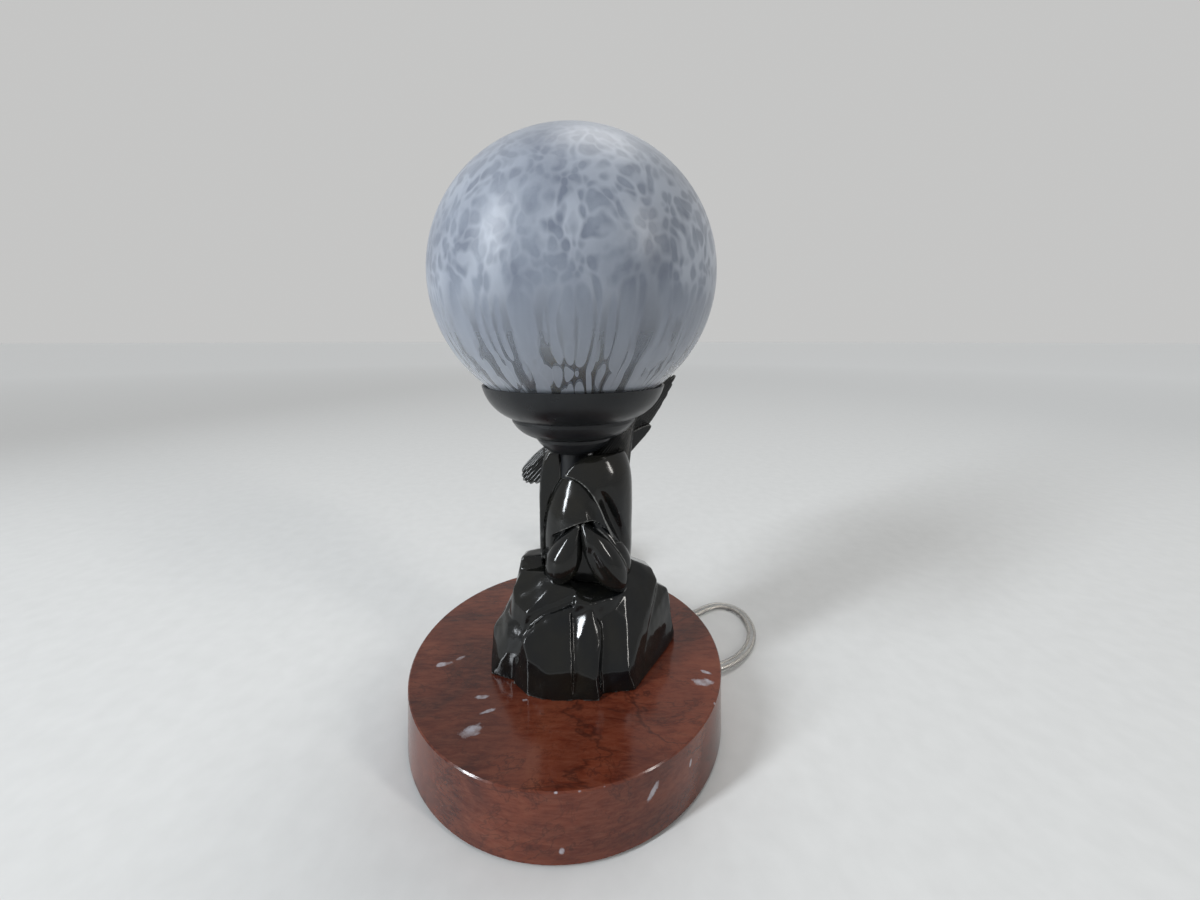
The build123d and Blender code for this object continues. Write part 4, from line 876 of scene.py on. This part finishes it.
# %% [markdown]
# ## Flex: the coil
# The photograph shows only the first 0.2 m. Such a lamp has 1.8 m, and the rest is wound up
# behind the base as for storage, with the plug on top. The flex lies flat, so the turns lie side
# by side and in four layers. A station is where the flex is after each quarter turn. There are
# four points to a quarter, because with fewer a spline would cut its corners. It still cuts
# inside its points a little, so these lie a little outside the turns.

# %% Wind the coil
COIL_X, COIL_Y = 5.0, 146.0
COIL_R = 34.0                        # the outermost turn
FLEX_GAP, LAYER_GAP = 0.98, 0.5
TURN_STEP = (FLEX_W + FLEX_GAP) / 4  # a quarter turn further in or out
LAYER_STEP = FLEX_T + LAYER_GAP
QUARTERS = (8, 8, 8, 6)              # quarter turns in each layer
PLUG_T = 13.7
TAIL_R = 22                          # the plug's end of the flex
OUTSIDE = 1.013
stations = [(180.0, COIL_R, COIL_START_Z)]
for layer, quarters in enumerate(QUARTERS):
    for _ in range(quarters):
        angle, radius, z = stations[-1]
        stations.append((angle - 90, radius + TURN_STEP * (1 if layer % 2 else -1), z))
    angle, radius, z = stations[-1]
    stations.append((angle - 90, radius, z + LAYER_STEP))
coil_top = COIL_LIFT + len(QUARTERS) * LAYER_STEP - LAYER_GAP
plug_z = coil_top + CLEAR + PLUG_T / 2
angle, radius, z = stations[-1]
stations.append((angle - 90, (radius + TAIL_R) / 2, (z + plug_z) / 2))
stations.append((angle - 180, TAIL_R, plug_z))
for (a0, r0, z0), (a1, r1, z1) in zip(stations, stations[1:]):
    for t in (0, 0.25, 0.5, 0.75):
        eased = t * t * (3 - 2 * t) if z1 != z0 else t
        out = polar(a0 + (a1 - a0) * t) * OUTSIDE * (r0 + (r1 - r0) * t)
        route.append(Vector((COIL_X + out.x, COIL_Y + out.y, z0 + (z1 - z0) * eased)))
route += [Vector((COIL_X - TAIL_R, COIL_Y + y, plug_z)) for y in (0, FLEX_W)]
print(len(stations) - 1, "quarter turns,", len(route), "points in all")

# %% [markdown]
# ## Flex: its line
# A NURBS spline takes the points as its control points and runs smoothly near them. Its order is
# set after its points are added: set before, it stays at 2, which is straight runs. The curve is
# made a mesh once, only to read the points that all the strands will follow.

# %% Draw the line
line = bpy.data.curves.new("flex_route", "CURVE")
line.dimensions = "3D"
spline = line.splines.new("NURBS")
spline.points.add(len(route) - 1)
for point, at in zip(spline.points, route):
    point.co = (*(at * MM), 1)
spline.order_u = 3
spline.use_endpoint_u = True
spline.resolution_u = 4
line_object = bpy.data.objects.new("flex_route", line)
scene.collection.objects.link(line_object)
bpy.context.view_layer.update()
path_mesh = bpy.data.meshes.new_from_object(line_object)
path = [v.co.copy() for v in path_mesh.vertices]
bpy.data.objects.remove(line_object)
print("flex line", round(sum((b - a).length for a, b in zip(path, path[1:])), 3), "m")

# %% [markdown]
# ## Flex: sweeping a section
# A curve's own bevel could give the flex its thickness, but it would let the flat section twist
# in the bends. So a ring of points is set square to the line at each of its points, with its
# width kept level, and each ring is joined to the one before.


# %% Sweep along the line
def along_the_line(name, section, material):
    """A strand with this section, a closed row of (across, up) in mm."""
    bm = bmesh.new()
    before = None
    for i, at in enumerate(path):
        way = (path[min(i + 1, len(path) - 1)] - path[max(i - 1, 0)]).normalized()
        across = Vector((0, 0, 1)).cross(way).normalized()
        up = way.cross(across)
        ring = [bm.verts.new(at + (across * u + up * v) * MM) for u, v in section]
        if before:
            for k in range(len(ring)):
                n = (k + 1) % len(ring)
                bm.faces.new((before[k], before[n], ring[n], ring[k]))
        else:
            bm.faces.new(ring[::-1])
        before = ring
    bm.faces.new(before)
    data = bpy.data.meshes.new(name)
    bm.to_mesh(data)
    bm.free()
    data.shade_smooth()
    data.materials.append(material)
    made = bpy.data.objects.new(name, data)
    scene.collection.objects.link(made)
    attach(made, "lamp")
    return made


print("helper", along_the_line.__name__)

# %% [markdown]
# ## Flex: clear skin and copper
# The skin is soft clear plastic, so most light goes through it, and what the eye sees is the
# tinned copper inside. The skin bends light little here, or the copper would look as thick as the
# flex. Fine noise on the copper stands for its twisted wires.

# %% Mix the clear skin and the copper
pvc = Finish("clear_pvc", IOR=1.35, Transmission_Weight=0.88, Coat_Weight=0.3,
             Coat_Roughness=0.05)
waves = pvc.noise(pvc.place(), 240, 2)
pvc.colour(pvc.ramp(waves, (0.3, (0.86, 0.87, 0.87)), (0.7, (0.94, 0.94, 0.93))))
pvc.rough(pvc.ramp(waves, (0.3, 0.10), (0.7, 0.2)))
pvc.bump(waves, 0.0001, 0.4)
wear("clear pvc", pvc.material, "inner_lead")
copper = Finish("tinned_core", Metallic=1.0, Roughness=0.38)
twist = copper.noise(copper.place(), 1100, 3)
copper.colour(copper.ramp(twist, (0.35, (0.42, 0.38, 0.34)), (0.65, (0.72, 0.68, 0.62))))
copper.bump(twist, 0.0002, 0.7)
print("materials", pvc.material.name, "and", copper.material.name)

# %% [markdown]
# ## Flex: skin and cores
# The section of the skin is two circles side by side with a waist between them, as a twin flex
# has. It stands for the solids of the run, the link and the coil. A core lies in each half.

# %% Make the flex
STRAND_R, CORE_R = FLEX_T / 2, 0.62
WAIST = 0.86                         # thickness at the waist, as a share
SKIN_POINTS, CORE_POINTS = 20, 8
figure_eight = []
for k in range(SKIN_POINTS):
    a = 2 * math.pi * k / SKIN_POINTS
    side = 1 if math.cos(a) >= 0 else -1
    waist = WAIST if abs(math.cos(a)) < 0.2 else 1.0
    figure_eight.append((side * STRAND_R + STRAND_R * math.cos(a),
                         STRAND_R * math.sin(a) * waist))
flex = along_the_line("flex", figure_eight, pvc.material)
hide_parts("flex_run", "flex_link", "flex_coil")
for i, side in enumerate((-STRAND_R, STRAND_R)):
    angles = [2 * math.pi * k / CORE_POINTS for k in range(CORE_POINTS)]
    strand = [(side + CORE_R * math.cos(a), CORE_R * math.sin(a)) for a in angles]
    along_the_line(f"flex_core_{i + 1}", strand, copper.material)
print("flex", len(flex.data.polygons), "faces")
